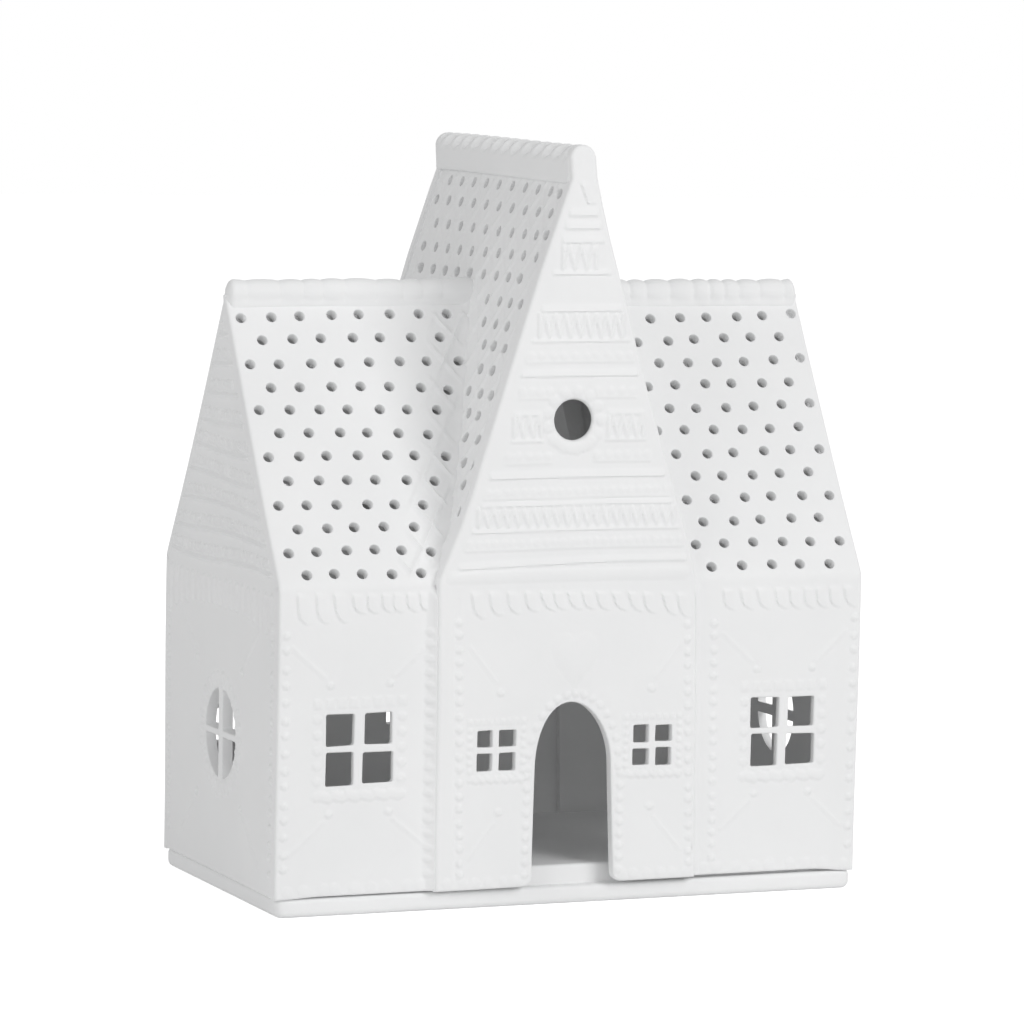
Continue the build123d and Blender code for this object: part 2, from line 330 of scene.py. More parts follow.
@dataclass
class Clay:
    """Ornament over one face: the height at many places, raised or cut feature by feature."""

    u: Array
    v: Array
    height: Array = field(init=False)

    def __post_init__(self) -> None:
        """Starts flat."""
        self.height = np.zeros_like(self.u)

    def lift(self, shape: Array) -> None:
        """Raises the surface to the shape where that is higher."""
        self.height = np.maximum(self.height, shape)

    def beads(self, places: Array, radius: float, height: float) -> None:
        """Round beads: height * sqrt(1 - d * d / (r * r)) at the distance d.

        Args:
            places: Rows of u and v.
            radius: Radius of each bead.
            height: Height of its middle.
        """
        for mid_u, mid_v in places:
            near = ((self.u - mid_u) ** 2 + (self.v - mid_v) ** 2) / radius ** 2
            self.lift(height * np.sqrt(np.clip(1.0 - near, 0.0, 1.0)))

    def ridge(self, start: Pair, end: Pair, width: float, height: float,
              power: float = 0.5) -> None:
        """Ridge along a line: height * (1 - d * d / (w * w)) ** power at the distance d.

        Args:
            start: First end.
            end: Second end.
            width: Half of its width.
            height: Height of its crest.
            power: 0.5 for a round section, more for a softer one.
        """
        run = np.array(end, float) - np.array(start, float)
        off_u, off_v = self.u - start[0], self.v - start[1]
        share = np.clip((off_u * run[0] + off_v * run[1]) / float(run @ run), 0.0, 1.0)
        near = ((off_u - share * run[0]) ** 2 + (off_v - share * run[1]) ** 2) / width ** 2
        self.lift(height * np.clip(1.0 - near, 0.0, 1.0) ** power)

    def tongue(self, top: Pair, length: float, slant: float, height: float) -> None:
        """Drip with a crisp hooked left edge, that fades out to the right.

        The edge is where u = top + slant * d + 2.4 (d / length) ** 7 at the depth d.

        Args:
            top: Its upper left end.
            length: How far down it reaches.
            slant: Lean of its edge to the right.
            height: Height of its edge.
        """
        depth = top[1] - self.v
        share = depth / length
        off = self.u - top[0] - slant * depth
        body = smooth(-0.16, 0.16, off - 2.4 * np.clip(share, 0.0, 1.0) ** 7)
        fade = 1.0 - np.clip((off + 0.3) / 4.2, 0.0, 1.0) ** 1.2
        self.lift(height * body * fade * smooth(0.0, 0.22, share) * (share < 1.0))

    def cut(self, depth: Array) -> None:
        """Lowers the surface by the depth."""
        self.height = self.height - depth


def row(start: Pair, end: Pair, count: int, uneven: float = 0.0) -> Array:
    """Evenly spaced places on a line, moved a little along it by a sine of their number.

    Args:
        start: First place.
        end: Last place.
        count: How many.
        uneven: The most that a place moves.

    Returns:
        Rows of u and v.
    """
    shares = np.linspace(0.0, 1.0, count)[:, None]
    first, last = np.array(start, float), np.array(end, float)
    wobble = uneven * np.sin(np.arange(count) * 2.4 + start[0])[:, None]
    return first + (last - first) * shares + unit(last - first) * wobble


def inside(flat: Array, ring: Array) -> Array:
    """Even-odd test of many places against one closed ring of points.

    Args:
        flat: Places to test.
        ring: The ring's points.

    Returns:
        True for each place inside.
    """
    after = np.roll(ring, -1, axis=0)
    result = np.zeros(len(flat), bool)
    for (u0, v0), (u1, v1) in zip(ring, after):
        if v0 == v1:
            continue
        spans = (flat[:, 1] < v0) != (flat[:, 1] < v1)
        cross = u0 + (flat[:, 1] - v0) * (u1 - u0) / (v1 - v0)
        result ^= spans & (flat[:, 0] < cross)
    return result


def clear_of(flat: Array, ring: Array, gap: float) -> Array:
    """True for each place farther than the gap from every point of the ring."""
    low, high = ring.min(axis=0) - gap, ring.max(axis=0) + gap
    far = np.ones(len(flat), bool)
    near = np.flatnonzero(((flat > low) & (flat < high)).all(axis=1))
    for part in np.array_split(near, max(1, len(near) * len(ring) // 4_000_000 + 1)):
        span = flat[part, None, :] - ring[None, :, :]
        far[part] = ((span ** 2).sum(axis=2) > gap * gap).all(axis=1)
    return far


def grid_inside(rings: list[Array], step: float) -> Array:
    """Staggered grid of places inside the first ring and outside the others.

    Args:
        rings: The outline, then the openings.
        step: Spacing.

    Returns:
        Rows of u and v.
    """
    low, high = rings[0].min(axis=0), rings[0].max(axis=0)
    pitch = step * math.sqrt(3.0) / 2.0
    rows = np.arange(low[1] + pitch / 2.0, high[1], pitch)
    columns = np.arange(low[0] + step / 2.0, high[0], step)
    u, v = np.meshgrid(columns, rows)
    u = u + step / 2.0 * (np.arange(len(rows)) % 2)[:, None]
    flat = np.stack([u.ravel(), v.ravel()], axis=1)
    flat = flat[inside(flat, rings[0])]
    flat = flat[clear_of(flat, rings[0], step * 0.6)]
    for ring in rings[1:]:
        reach = np.abs(flat - ring.mean(axis=0)).max(axis=1) < np.ptp(ring, axis=0).max()
        keep = np.ones(len(flat), bool)
        near = np.flatnonzero(reach)
        keep[near] = ~inside(flat[near], ring) & clear_of(flat[near], ring, step * 0.6)
        flat = flat[keep]
    return flat


def fill(rings: list[Array], step: float, extra: Array | None = None) -> tuple[Array, Array]:
    """Triangles between an outline and its openings, through a staggered grid of places.

    Args:
        rings: The outline, then the openings.
        step: Spacing of the grid.
        extra: More places inside the outline, or none.

    Returns:
        The places, rings first, and the triangles, turned left.
    """
    more = [] if extra is None else [extra]
    flat = np.concatenate(rings + [grid_inside(rings, step)] + more)
    label = np.full(len(flat), -1)
    edges = []
    first = 0
    for number, ring in enumerate(rings):
        index = first + np.arange(len(ring))
        label[index] = number
        edges += np.stack([index, np.roll(index, -1)], axis=1).tolist()
        first += len(ring)
    found = delaunay_2d_cdt(flat.tolist(), edges, [], 0, 1e-9, False)
    if len(found[0]) != len(flat):
        raise ValueError(f"{len(found[0]) - len(flat)} crossings of outlines")
    triangles = np.array(found[2])
    same = (label[triangles] == label[triangles[:, :1]]).all(axis=1) & (label[triangles[:, 0]] >= 0)
    drop = same & (label[triangles[:, 0]] > 0)
    rim = np.flatnonzero(same & (label[triangles[:, 0]] == 0))
    drop[rim] = ~inside(flat[triangles[rim]].mean(axis=1), rings[0])
    triangles = triangles[~drop]
    a, b, c = (flat[triangles[:, k]] for k in range(3))
    area = np.cross(b - a, c - a)
    triangles[area < 0] = triangles[area < 0][:, ::-1]
    return flat, triangles


def strip(first: Array, second: Array) -> Array:
    """Triangles between two closed rows of point numbers of one length."""
    ahead_first, ahead_second = np.roll(first, -1), np.roll(second, -1)
    one = np.stack([first, second, ahead_second], axis=1)
    two = np.stack([first, ahead_second, ahead_first], axis=1)
    return np.concatenate([one, two])


def without_slivers(triangles: Array) -> Array:
    """The triangles whose three point numbers all differ."""
    a, b, c = triangles.T
    return triangles[(a != b) & (b != c) & (a != c)]


def write_mesh(name: str, points: Array, triangles: Array, sharp: float) -> Piece:
    """Makes an object from points in millimetres and triangles.

    Args:
        name: Its name.
        points: Rows of x, y and z.
        triangles: Rows of three point numbers.
        sharp: Angle in degrees past which an edge is sharp.

    Returns:
        The object.
    """
    mesh = bpy.data.meshes.new(name)
    mesh.vertices.add(len(points))
    mesh.vertices.foreach_set("co", (points * MM).astype(np.float32).ravel())
    mesh.loops.add(len(triangles) * 3)
    mesh.loops.foreach_set("vertex_index", triangles.astype(np.int32).ravel())
    mesh.polygons.add(len(triangles))
    mesh.polygons.foreach_set("loop_start", np.arange(0, len(triangles) * 3, 3, dtype=np.int32))
    mesh.update(calc_edges=True)
    mesh.validate()
    mesh.shade_smooth()
    mesh.set_sharp_from_angle(angle=math.radians(sharp))
    piece = bpy.data.objects.new(name, mesh)
    bpy.context.scene.collection.objects.link(piece)
    return piece


def write_rings(name: str, points: Array, rings: Array, sharp: float,
                turned: bool = False) -> Piece:
    """Skin over rows of equal rings, whose first and last ring each close to one point.

    Args:
        name: The object's name.
        points: Rows of x, y and z.
        rings: Point numbers, one ring a row.
        sharp: Angle in degrees past which an edge is sharp.
        turned: True to turn the triangles over.

    Returns:
        The object.
    """
    triangles = np.concatenate([strip(one, two) for one, two in zip(rings, rings[1:])])
    merged = np.arange(rings.size)
    for ring in (rings[0], rings[-1]):
        merged[ring] = ring[0]
    triangles = merged[triangles[:, ::-1] if turned else triangles]
    used, triangles = np.unique(without_slivers(triangles), return_inverse=True)
    return write_mesh(name, points[used], triangles.reshape(-1, 3), sharp)


@dataclass
class Slab:
    """A slab of clay with round-edged openings and ornament on its outer face."""

    node: str
    facet: Facet
    outline: Loop
    openings: list[Loop]
    relief: Height
    grain: float = 0.6
    mirror: float = 1.0
    thickness: float = WALL
    edge_steps: int = 4
    inner_grain: float = 7.0
    soft_level: float | None = None
    mitre: Move = lambda flat: flat
    bend: Move = lambda points: points
    flare: float = 0.0

    def soft_rows(self) -> Array | None:
        """Closer rows of places beside the edge that the eaves round off.

        Returns:
            Rows of u and v, or none for a slab that doesn't reach the eaves.
        """
        if self.soft_level is None:
            return None
        low, high = self.outline.points.min(axis=0), self.outline.points.max(axis=0)
        inward = 1.0 if self.soft_level < high[1] - 1.0 else -1.0
        columns = np.arange(low[0] + ROUND, high[0] - ROUND, self.grain)
        rows = self.soft_level + inward * np.array([0.14, 0.3, 0.48])
        u, v = np.meshgrid(columns, rows)
        return np.stack([u.ravel(), v.ravel()], axis=1)

    def build(self) -> Piece:
        """Face, rounded edges, cut sides and inner face, as one closed skin.

        Returns:
            The slab's object.
        """
        loops = [self.outline] + self.openings
        rings = [loop.ring(0.0)[0] for loop in loops]
        flat, face = fill(rings, self.grain, self.soft_rows())
        lift = self.relief(flat[:, 0], flat[:, 1])
        parts = [self.facet.place(flat, lift)]
        triangles = [face]
        back_rings, back_numbers = [], []
        total, first = len(flat), 0
        for loop, ring in zip(loops, rings):
            numbers = first + np.arange(len(ring))
            raised = lift[numbers]
            first += len(ring)
            round_edge = loop.rim > 0.0
            for angle in np.linspace(0.0, math.pi / 2.0, self.edge_steps + 1)[1:]:
                if not round_edge.any():
                    break
                places, depth = loop.ring(angle)
                height = raised * math.cos(angle) - depth
                parts.append(self.facet.place(places[round_edge], height[round_edge]))
                following = numbers.copy()
                following[round_edge] = total + np.arange(int(round_edge.sum()))
                triangles.append(strip(numbers, following))
                numbers = following
                total += int(round_edge.sum())
            under = loop.points - loop.shift * self.flare
            if loop is self.outline:
                under = self.mitre(loop.points)
            parts.append(self.facet.place(under, np.full(len(ring), -self.thickness)))
            following = total + np.arange(len(ring))
            triangles.append(strip(numbers, following))
            total += len(ring)
            back_rings.append(under)
            back_numbers.append(following)
        inner, below = fill(back_rings, self.inner_grain)
        middle = inner[sum(len(ring) for ring in back_rings):]
        numbers = np.concatenate(back_numbers + [total + np.arange(len(middle))])
        parts.append(self.facet.place(middle, np.full(len(middle), -self.thickness)))
        triangles.append(numbers[below][:, ::-1])
        points = self.bend(np.concatenate(parts)) * np.array([1.0, self.mirror, 1.0])
        mesh = without_slivers(np.concatenate(triangles))
        if self.mirror < 0:
            mesh = mesh[:, ::-1]
        return write_mesh(f"{self.node}_clay", settle(points), mesh, 50.0)


# Materials


Feed = Socket | float | tuple[float, ...]
WHITE = (1.0, 1.0, 1.0, 1.0)


def feed(tree: Tree, node: bpy.types.Node, inputs: dict[str | int, Feed]) -> None:
    """Sets a node's inputs to values, or links them to other nodes' outputs.

    Args:
        tree: The node's tree.
        node: The node.
        inputs: What each input takes, by its name, with _ for a space, or its number.
    """
    for name, value in inputs.items():
        socket = node.inputs[name.replace("_", " ") if isinstance(name, str) else name]
        if isinstance(value, Socket):
            tree.links.new(value, socket)
        else:
            socket.default_value = value


def add(tree: Tree, kind: str, **inputs: Feed) -> bpy.types.Node:
    """Adds a node and feeds its inputs, whose names have _ for a space."""
    node = tree.nodes.new(f"ShaderNode{kind}")
    feed(tree, node, inputs)
    return node


def maths(tree: Tree, operation: str, first: Feed, second: Feed) -> Socket:
    """Works out an operation on two terms.

    Args:
        tree: Where it takes place.
        operation: Its name.
        first: A value or another node's output.
        second: The other one.

    Returns:
        The output.
    """
    node = add(tree, "Math")
    node.operation = operation
    feed(tree, node, {0: first, 1: second})
    return node.outputs["Value"]


class Shading:
    """A new material and the textures that lead to its main shader."""

    def __init__(self, name: str) -> None:
        """Makes the material, and takes places from the piece itself."""
        self.material = bpy.data.materials.new(name)
        self.material.use_nodes = True
        self.tree = self.material.node_tree
        self.place = add(self.tree, "TexCoord").outputs["Object"]

    def noise(self, scale: float, **inputs: Feed) -> Socket:
        """Noise of a scale, by the piece's own places unless it is given others."""
        vector = {"Vector": self.place} | inputs
        return add(self.tree, "TexNoise", Scale=scale, **vector).outputs["Fac"]

    def tones(self, share: Socket, dark: tuple[float, ...], light: tuple[float, ...],
              span: Pair = (0.0, 1.0)) -> Socket:
        """Mixes two colours as a share goes through a span.

        Args:
            share: The share.
            dark: Colour up to the span's start.
            light: Colour from its end on.
            span: Its start and end.

        Returns:
            The colour's output.
        """
        ramp = add(self.tree, "ValToRGB", Fac=share)
        for element, end, colour in zip(ramp.color_ramp.elements, span, (dark, light)):
            element.position = end
            element.color = (*colour, 1.0)
        return ramp.outputs["Color"]

    def bump(self, height: Socket, distance: float, **inputs: Feed) -> Socket:
        """Turns a height, over a distance in metres, into a direction of the surface."""
        return add(self.tree, "Bump", Height=height, Distance=distance, **inputs).outputs["Normal"]

    def finish(self, **inputs: Feed) -> Material:
        """Feeds the main shader and gives back the material."""
        feed(self.tree, self.tree.nodes["Principled BSDF"], inputs)
        return self.material


@dataclass(frozen=True)
class Porcelain:
    """Unglazed white porcelain: a matt skin with fine grain, faint clouds of tone and a faint
    painted glow.
    """

    name: str
    light: Triple = (0.925, 0.928, 0.93)
    dark: Triple = (0.9, 0.904, 0.907)
    roughness: float = 0.62
    # painted glow: faint white emission that stands in for light coming through the thin porcelain
    painted_glow: float = 0.012
    cloud_scale: float = 38.0
    grain_scale: float = 1500.0
    smear_scale: float = 210.0

    def make(self) -> Material:
        """Clouds mix two whites; the marks of smoothing and grain give the bump; a faint painted
        glow stands in for light through the thin porcelain.

        Returns:
            The material.
        """
        shading = Shading(self.name)
        cloud = shading.noise(self.cloud_scale, Detail=4.0)
        grain = shading.noise(self.grain_scale, Detail=2.0)
        smear = shading.noise(self.smear_scale, Detail=3.0)
        fine = shading.bump(grain, 0.00008, Strength=0.25)
        return shading.finish(
            Base_Color=shading.tones(cloud, self.dark, self.light, (0.3, 0.7)),
            Normal=shading.bump(smear, 0.0003, Strength=0.35, Normal=fine),
            Roughness=self.roughness,
            Specular_IOR_Level=0.35,
            # painted glow: white emission in place of light that passes through the thin porcelain
            Emission_Color=WHITE,
            Emission_Strength=self.painted_glow,
        )


@dataclass(frozen=True)
class Metal:
    """Thin pressed sheet, with faint rolling streaks in its gloss."""

    name: str
    colour: Triple = (0.78, 0.78, 0.79)
    shade: Triple = (0.66, 0.66, 0.68)
    roughness: float = 0.28

    def make(self) -> Material:
        """Stretched noise mixes two tones and moves the roughness.

        Returns:
            The material.
        """
        shading = Shading(self.name)
        stretch = add(shading.tree, "Mapping", Vector=shading.place, Scale=(900.0, 900.0, 60.0))
        noise = shading.noise(1.0, Vector=stretch.outputs["Vector"])
        spread = add(shading.tree, "MapRange", Value=noise, To_Min=self.roughness - 0.06,
                     To_Max=self.roughness + 0.1)
        return shading.finish(Base_Color=shading.tones(noise, self.shade, self.colour),
                              Roughness=spread.outputs["Result"], Metallic=1.0)


@dataclass(frozen=True)
class Wax:
    """Milky candle wax, a little cloudy and soft to light."""

    name: str
    light: Triple = (0.9, 0.88, 0.82)
    dark: Triple = (0.84, 0.81, 0.74)

    def make(self) -> Material:
        """Clouds mix two creams, under a soft gloss.

        Returns:
            The material.
        """
        shading = Shading(self.name)
        cloud = shading.noise(160.0, Detail=5.0)
        return shading.finish(
            Base_Color=shading.tones(cloud, self.dark, self.light),
            Normal=shading.bump(cloud, 0.0003, Strength=0.3),
            Roughness=0.38,
            Subsurface_Weight=0.25,
            Subsurface_Radius=(1.0, 0.75, 0.5),
            Subsurface_Scale=0.004,
        )


@dataclass(frozen=True)
class Cotton:
    """Braided cotton wick with diagonal threads."""

    name: str
    light: Triple = (0.9, 0.88, 0.82)
    dark: Triple = (0.62, 0.59, 0.52)

    def make(self) -> Material:
        """Diagonal waves along the wick mix two tones and give its bump.

        Returns:
            The material.
        """
        shading = Shading(self.name)
        wave = add(shading.tree, "TexWave", Vector=shading.place, Scale=700.0)
        wave.bands_direction = "DIAGONAL"
        threads = wave.outputs["Fac"]
        return shading.finish(Base_Color=shading.tones(threads, self.dark, self.light),
                              Normal=shading.bump(threads, 0.0002), Roughness=0.9)


@dataclass(frozen=True)
class Finishes:
    """The finishes that the pieces share, one material each."""

    house: Material
    base: Material
    cup: Material
    wax: Material
    wick: Material
    tab: Material


def dress(piece: Piece, body: Body, slot: str, finish: Material, *nodes: str) -> None:
    """Gives a piece its finish and body, and lets it stand for its solids.

    Args:
        piece: The piece.
        body: The body that it rides on.
        slot: Not used.
        finish: Its material.
        nodes: The solids that it replaces.
    """
    piece.data.materials.append(finish)
    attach(piece, body.value)
    if nodes:
        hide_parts(*nodes)
    LOG.info("%s: %d triangles", piece.name, len(piece.data.polygons))


# The house


@dataclass
class WallOrnament:
    """Raised ornament that the walls share."""

    ray_dot: float = 1.05
    edge_bead: float = 1.15
    bead_height: float = 0.5
    drip_height: float = 0.62
    sway: float = 0.1

    def edge(self, clay: Clay, foot: Pair, top: Pair, count: int, uneven: float) -> None:
        """Beads up an edge of a wall, from its foot to its top."""
        clay.beads(row(foot, top, count, uneven), self.edge_bead, self.bead_height)

    def icicles(self, clay: Clay, places: list[Triple], slant: float) -> None:
        """Icing drips under the eaves, each leaning a little differently.

        Args:
            clay: The face.
            places: Each drip's u, its top and its length.
            slant: Their lean to the right.
        """
        for mid, top, length in places:
            lean = slant + self.sway * math.sin(mid * 2.3)
            clay.tongue((mid, top), length, lean, self.drip_height)

    def diagonals(self, clay: Clay, centre: Pair, near: Pair, far: Pair) -> None:
        """Four rays that point from near a window to the corners, with a dot at each foot.

        Args:
            clay: The face.
            centre: Middle of the four.
            near: Offset of a ray's inner end, across and up.
            far: Offset of its outer end.
        """
        for side_u, side_v in CORNERS:
            inner, outer, dot = (
                (centre[0] + side_u * across, centre[1] + side_v * up)
                for across, up in (near, far, (near[0] - 1.6, near[1] - 2.2)))
            clay.ridge(inner, outer, 0.95, 0.18, 1.3)
            clay.beads(np.array([dot]), self.ray_dot, self.bead_height)

    def frame(self, clay: Clay, centre: Pair, half: Pair, counts: tuple[int, int],
              size: float) -> None:
        """Window frame: flat squares above, beads at the sides and a rope below.

        Args:
            clay: The face.
            centre: Middle of the window.
            half: Half of the frame's width and height.
            counts: Beads across and up.
            size: Radius of a side bead.
        """
        left, right = centre[0] - half[0], centre[0] + half[0]
        low, high = centre[1] - half[1], centre[1] + half[1]
        for mid_u, mid_v in row((left, high), (right, high), counts[0] + 2):
            far = np.maximum(np.abs(clay.u - mid_u) / (size * 0.95),
                             np.abs(clay.v - mid_v) / (size * 1.1))
            clay.lift(0.26 * np.clip(1.0 - far ** 4, 0.0, 1.0) ** 0.6)
        for side in (left, right):
            clay.beads(row((side, low), (side, high), counts[1]), size, 0.38)
        pitch = 2.0 * half[0] / counts[0]
        for number in range(counts[0]):
            start = left + number * pitch
            clay.ridge((start + 0.25 * pitch, low + 0.35), (start + 0.85 * pitch, low - 0.35),
                       size * 1.1, 0.45)


@dataclass
class House:
    """The porcelain house: walls, gables, pierced roofs and ridge rolls."""

    finish: Material
    ornament: WallOrnament = field(default_factory=WallOrnament)
    fine: float = 0.42
    roof_grain: float = 0.62
    hole: float = 3.0
    hole_rim: float = 0.3
    hole_points: int = 22
    foot_rim: float = 0.8
    end_rim: float = 0.9
    wing_bars: Pair = (2.8, 1.9)
    bay_window: Pair = (11.9, 11.4)
    bay_bars: Pair = (2.0, 1.7)
    bay_level: float = 44.4
    bay_windows: tuple[Pair, ...] = ((-13.4, 10.2), (-24.95, 22.7))
    doorway: tuple[float, float, float, float] = (-12.9, 10.1, 38.8, 18.4)
    roll_radius: float = 3.95
    roll_x: float = -1.85
    end_window: float = 25.7
    end_bars: Pair = (3.3, 1.9)
    wing_windows: tuple[tuple[Pair, Pair], ...] = (
        ((-64.6, 46.3), (19.2, 19.7)), ((64.5, 46.9), (19.9, 19.5)))
    ring: Pair = (-3.0, 136.0)
    wing_pitch: Pair = (8.9, 7.35)
    left_rows: tuple[int, ...] = (8, 7, 8, 7, 7, 6, 7, 6, 6, 5, 6, 5)
    left_drops: tuple[float, ...] = (-0.4, -0.4, 0.6, 2.3, 0.6, 1.1, 1.1, 1.0, 0.9, 0.9, 1.2, 0.3)
    gable_pitch: Pair = (9.3, 6.75)
    gable_first_row: float = 11.5
    gable_rows: int = 15
    gable_firsts: tuple[float, ...] = (39.7, 33.9, 37.6, 33.4, 37.5, 33.1, 37.0, 41.3, 38.6, 45.0)
    left_rake: tuple[tuple[float, ...], tuple[float, ...]] = (
        (-43.0, -36.7, -33.2, -25.9, -20.8, -14.0, -8.2, -5.3),
        (92.0, 106.5, 116.0, 139.0, 155.5, 177.6, 194.5, 202.6))
    right_rake: tuple[tuple[float, ...], tuple[float, ...]] = (
        (36.1, 17.6, 9.9, 6.9, 4.7, 2.7), (91.5, 150.0, 176.0, 186.0, 194.3, 202.6))

    def build(self) -> None:
        """Builds every slab and roll of the house."""
        for side, label in ((-1, "left"), (1, "right")):
            self.wing_walls(side, label)
            self.wing_roofs(side, label)
            self.end_wall(side, label)
            self.tall_roof(side, label)
            self.wing_roll(side, label)
        self.centre_wall(True)
        self.centre_wall(False)
        self.tall_roll()

    def holes(self, places: list[Pair]) -> list[Loop]:
        """Round holes of the roofs, one at each place."""
        return [round_hole(spot, self.hole / 2.0, self.hole_points, self.hole_rim)
                for spot in places]

    def finish_piece(self, piece: Piece, slot: str, node: str) -> None:
        """Dresses one piece of the house in place of its solid."""
        dress(piece, Body.HOUSE, slot, self.finish, node)

    def add(self, slot: str, slab: Slab) -> None:
        """Builds one slab and dresses it."""
        self.finish_piece(slab.build(), slot, slab.node)

    def wing_walls(self, side: int, label: str) -> None:
        """Front wall of one wing, and its mirror image at the back.

        Args:
            side: -1 for the left wing, 1 for the right.
            label: The wing's name.
        """
        bay = bay_edge(side)
        low, high = sorted((bay - side, side * HALF_WIDTH))
        corners = [(low, FOOT), (high, FOOT), (high, EAVE), (low, EAVE)]
        ends = (0.0, self.end_rim)
        rims = [self.foot_rim, ends[side > 0], 0.0, ends[side < 0]]
        outline = rounded_path(corners, [0.0] * 4, rims, 0.7)
        centre, size = self.wing_windows[side > 0]
        openings = pane_holes(centre, size, self.wing_bars, 0.55, 0.45, 0.45)
        far, near = side * 86.2, (-44.8 if side < 0 else 42.6)

        def relief(u: Array, v: Array) -> Array:
            """Beads by both edges, a window frame, rays, drips and lumps at the foot."""
            clay = Clay(u, v)
            work = self.ornament
            work.edge(clay, (far, 13.4), (far, 78.3), 15, 0.4)
            work.edge(clay, (near, 10.5), (near, 78.0), 19, 0.25)
            work.frame(clay, centre, (12.2, 12.9), (6, 7), 1.35)
            fillet = 2.1 * np.clip(1.0 - np.abs(u - bay) / 2.7, 0.0, 1.0) ** 1.5
            clay.cut(-fillet * (1.0 - smooth(EAVE - 4.0, EAVE - 0.6, v)))
            work.diagonals(clay, centre, (10.2, 20.0), (20.0, 28.6) if side < 0 else (19.0, 28.0))
            if side < 0:
                drips = [(mid, 89.8, 9.0) for mid in (-83.3, -77.9, -73.0)]
                drips += [(mid, 88.9, 5.8) for mid in (-67.4, -63.0, -58.8, -55.4, -51.7, -47.8)]
            else:
                mids = (45.4, 50.4, 55.4, 60.8, 65.6, 70.2, 73.9, 78.1, 82.6)
                drips = [(mid - 0.2, 87.8, 6.4) for mid in mids]
            work.icicles(clay, drips, 0.05 if side < 0 else 0.1)
            clay.beads(row((low + 4.0, FOOT + 2.2), (high - 4.0, FOOT + 2.0), 9, 0.8), 1.7, 0.3)
            return clay.height

        facet = Facet((0.0, -HALF_DEPTH, 0.0), ACROSS, UP)
        for place, mirror in FRONT_AND_BACK:
            self.add("house", Slab(f"{place}_{label}_wall", facet, outline, openings, relief,
                                   self.fine, mirror, soft_level=EAVE, flare=1.0))

    def lattice(self, clay: Clay, pitch: Pair, first: Pair, depth: Pair, width: float) -> None:
        """Two families of diagonal lines that pass midway between the staggered holes.

        A line is where u / p - v / (2 q), or the sum, is a half number.

        Args:
            clay: The face.
            pitch: Hole pitch across and down, p and q.
            first: A hole's u and v.
            depth: Depth of each family, below 0 for raised lines.
            width: Half width of a line.
        """
        across = (clay.u - first[0]) / pitch[0]
        down = (clay.v - first[1]) / (2.0 * pitch[1])
        slant = math.hypot(1.0 / pitch[0], 0.5 / pitch[1])
        fade = 0.75 + 0.25 * np.sin(clay.u / 11.0 + 1.0) * np.sin(clay.v / 9.0)
        for phase, deep in ((across - down, depth[0]), (across + down, depth[1])):
            gap = np.abs(phase - np.floor(phase) - 0.5) / slant
            clay.cut(deep * fade * np.exp(-((gap / width) ** 2)))

    def valley(self, side: int, level: Array | float) -> Array:
        """Where the tall slope meets the long roof, as x * side at a height."""
        run = bay_half(side) * (GABLE_RIDGE - level) / GABLE_RISE + side * RIDGE_X
        return run - self.sag(side, level, roof_out(level))

    def sag(self, side: int, level: Array | float, out: Array | float) -> Array:
        """How far the tall slope has sunk inward, fading out at the gable panels.

        Args:
            side: -1 for the left slope, 1 for the right.
            level: Height.
            out: Distance from the middle of the house towards a gable.

        Returns:
            The shift in X, towards the middle.
        """
        middle = np.interp(level, (94.0, 104.0, 131.0, 157.0, 170.0, 188.0),
                           (0.4, 2.4, 3.3, 2.0, 1.3, 0.0))
        panel = np.interp(level, (94.0, 108.0, 135.0, 155.0), (0.0, 1.15, 0.8, 0.0))
        held = smooth(0.0, 8.0, 47.4 - np.abs(out))
        return (panel + (middle - panel) * held) * (1.0 if side < 0 else 0.45)

    def wing_hole_places(self, side: int) -> list[Pair]:
        """Staggered, hand-punched holes of one wing's roof, short of the valley.

        A row's first hole, its pitch and its count differ by wing. Every place is moved a
        little by a sine of where it is; the left rows drop as a cube towards the valley,
        and the right ones lean.

        Args:
            side: -1 for the left wing, 1 for the right.

        Returns:
            Places on the slope, across and up.
        """
        places = []
        for number in range(len(self.left_rows)):
            level = WING_RIDGE - (7.4 + 7.35 * number) * WING_RISE / SLOPE
            if side < 0:
                first = 79.8 if number % 2 else 84.9 - 0.11 * number
                pitch, count = 8.9 - 0.0058 * number ** 2, self.left_rows[number]
            else:
                first = 80.2 - 0.13 * number if number % 2 else 85.6 - 0.18 * number
                pitch = 9.05
                count = int((first - float(self.valley(side, level)) - 3.6) / pitch) + 1
            for index in range(count):
                reach = first - pitch * index
                wobble = 0.4 * math.sin(reach * 1.7 + number * 2.3) * (index > 0)
                if side < 0:
                    down = 7.4 + 7.33 * number + 0.3 * math.sin(reach * 2.9 + number)
                    down += self.left_drops[number] * (index / (count - 1.0)) ** 3
                else:
                    lean = 1.9 * (1.0 - number / 13.0) * (first - reach) / 46.0
                    down = 6.9 + 7.39 * number + lean
                    down += 0.25 * math.sin(reach * 2.9 + number)
                places.append((side * (reach + wobble), -down))
        return places

    def wing_roofs(self, side: int, label: str) -> None:
        """Front slope of one wing's roof and its mirror image at the back.

        Args:
            side: -1 for the left wing, 1 for the right.
            label: The wing's name.
        """
        under = 5.5
        top = RIDGE_X + side * (bay_half(side) * (GABLE_RIDGE - WING_RIDGE) / GABLE_RISE - under)
        foot = bay_edge(side) - side * under
        end = side * HALF_WIDTH
        corners = [(end, -SLOPE), (foot, -SLOPE), (top, 0.0), (end, 0.0)]
        rims = [0.0, 0.0, 0.0, self.end_rim]
        if side > 0:
            corners = [(foot, -SLOPE), (end, -SLOPE), (end, 0.0), (top, 0.0)]
            rims = [0.0, self.end_rim, 0.0, 0.0]
        outline = rounded_path(corners, [0.0] * 4, rims, 0.7)
        turn = math.atan2(HALF_DEPTH, WING_RISE)

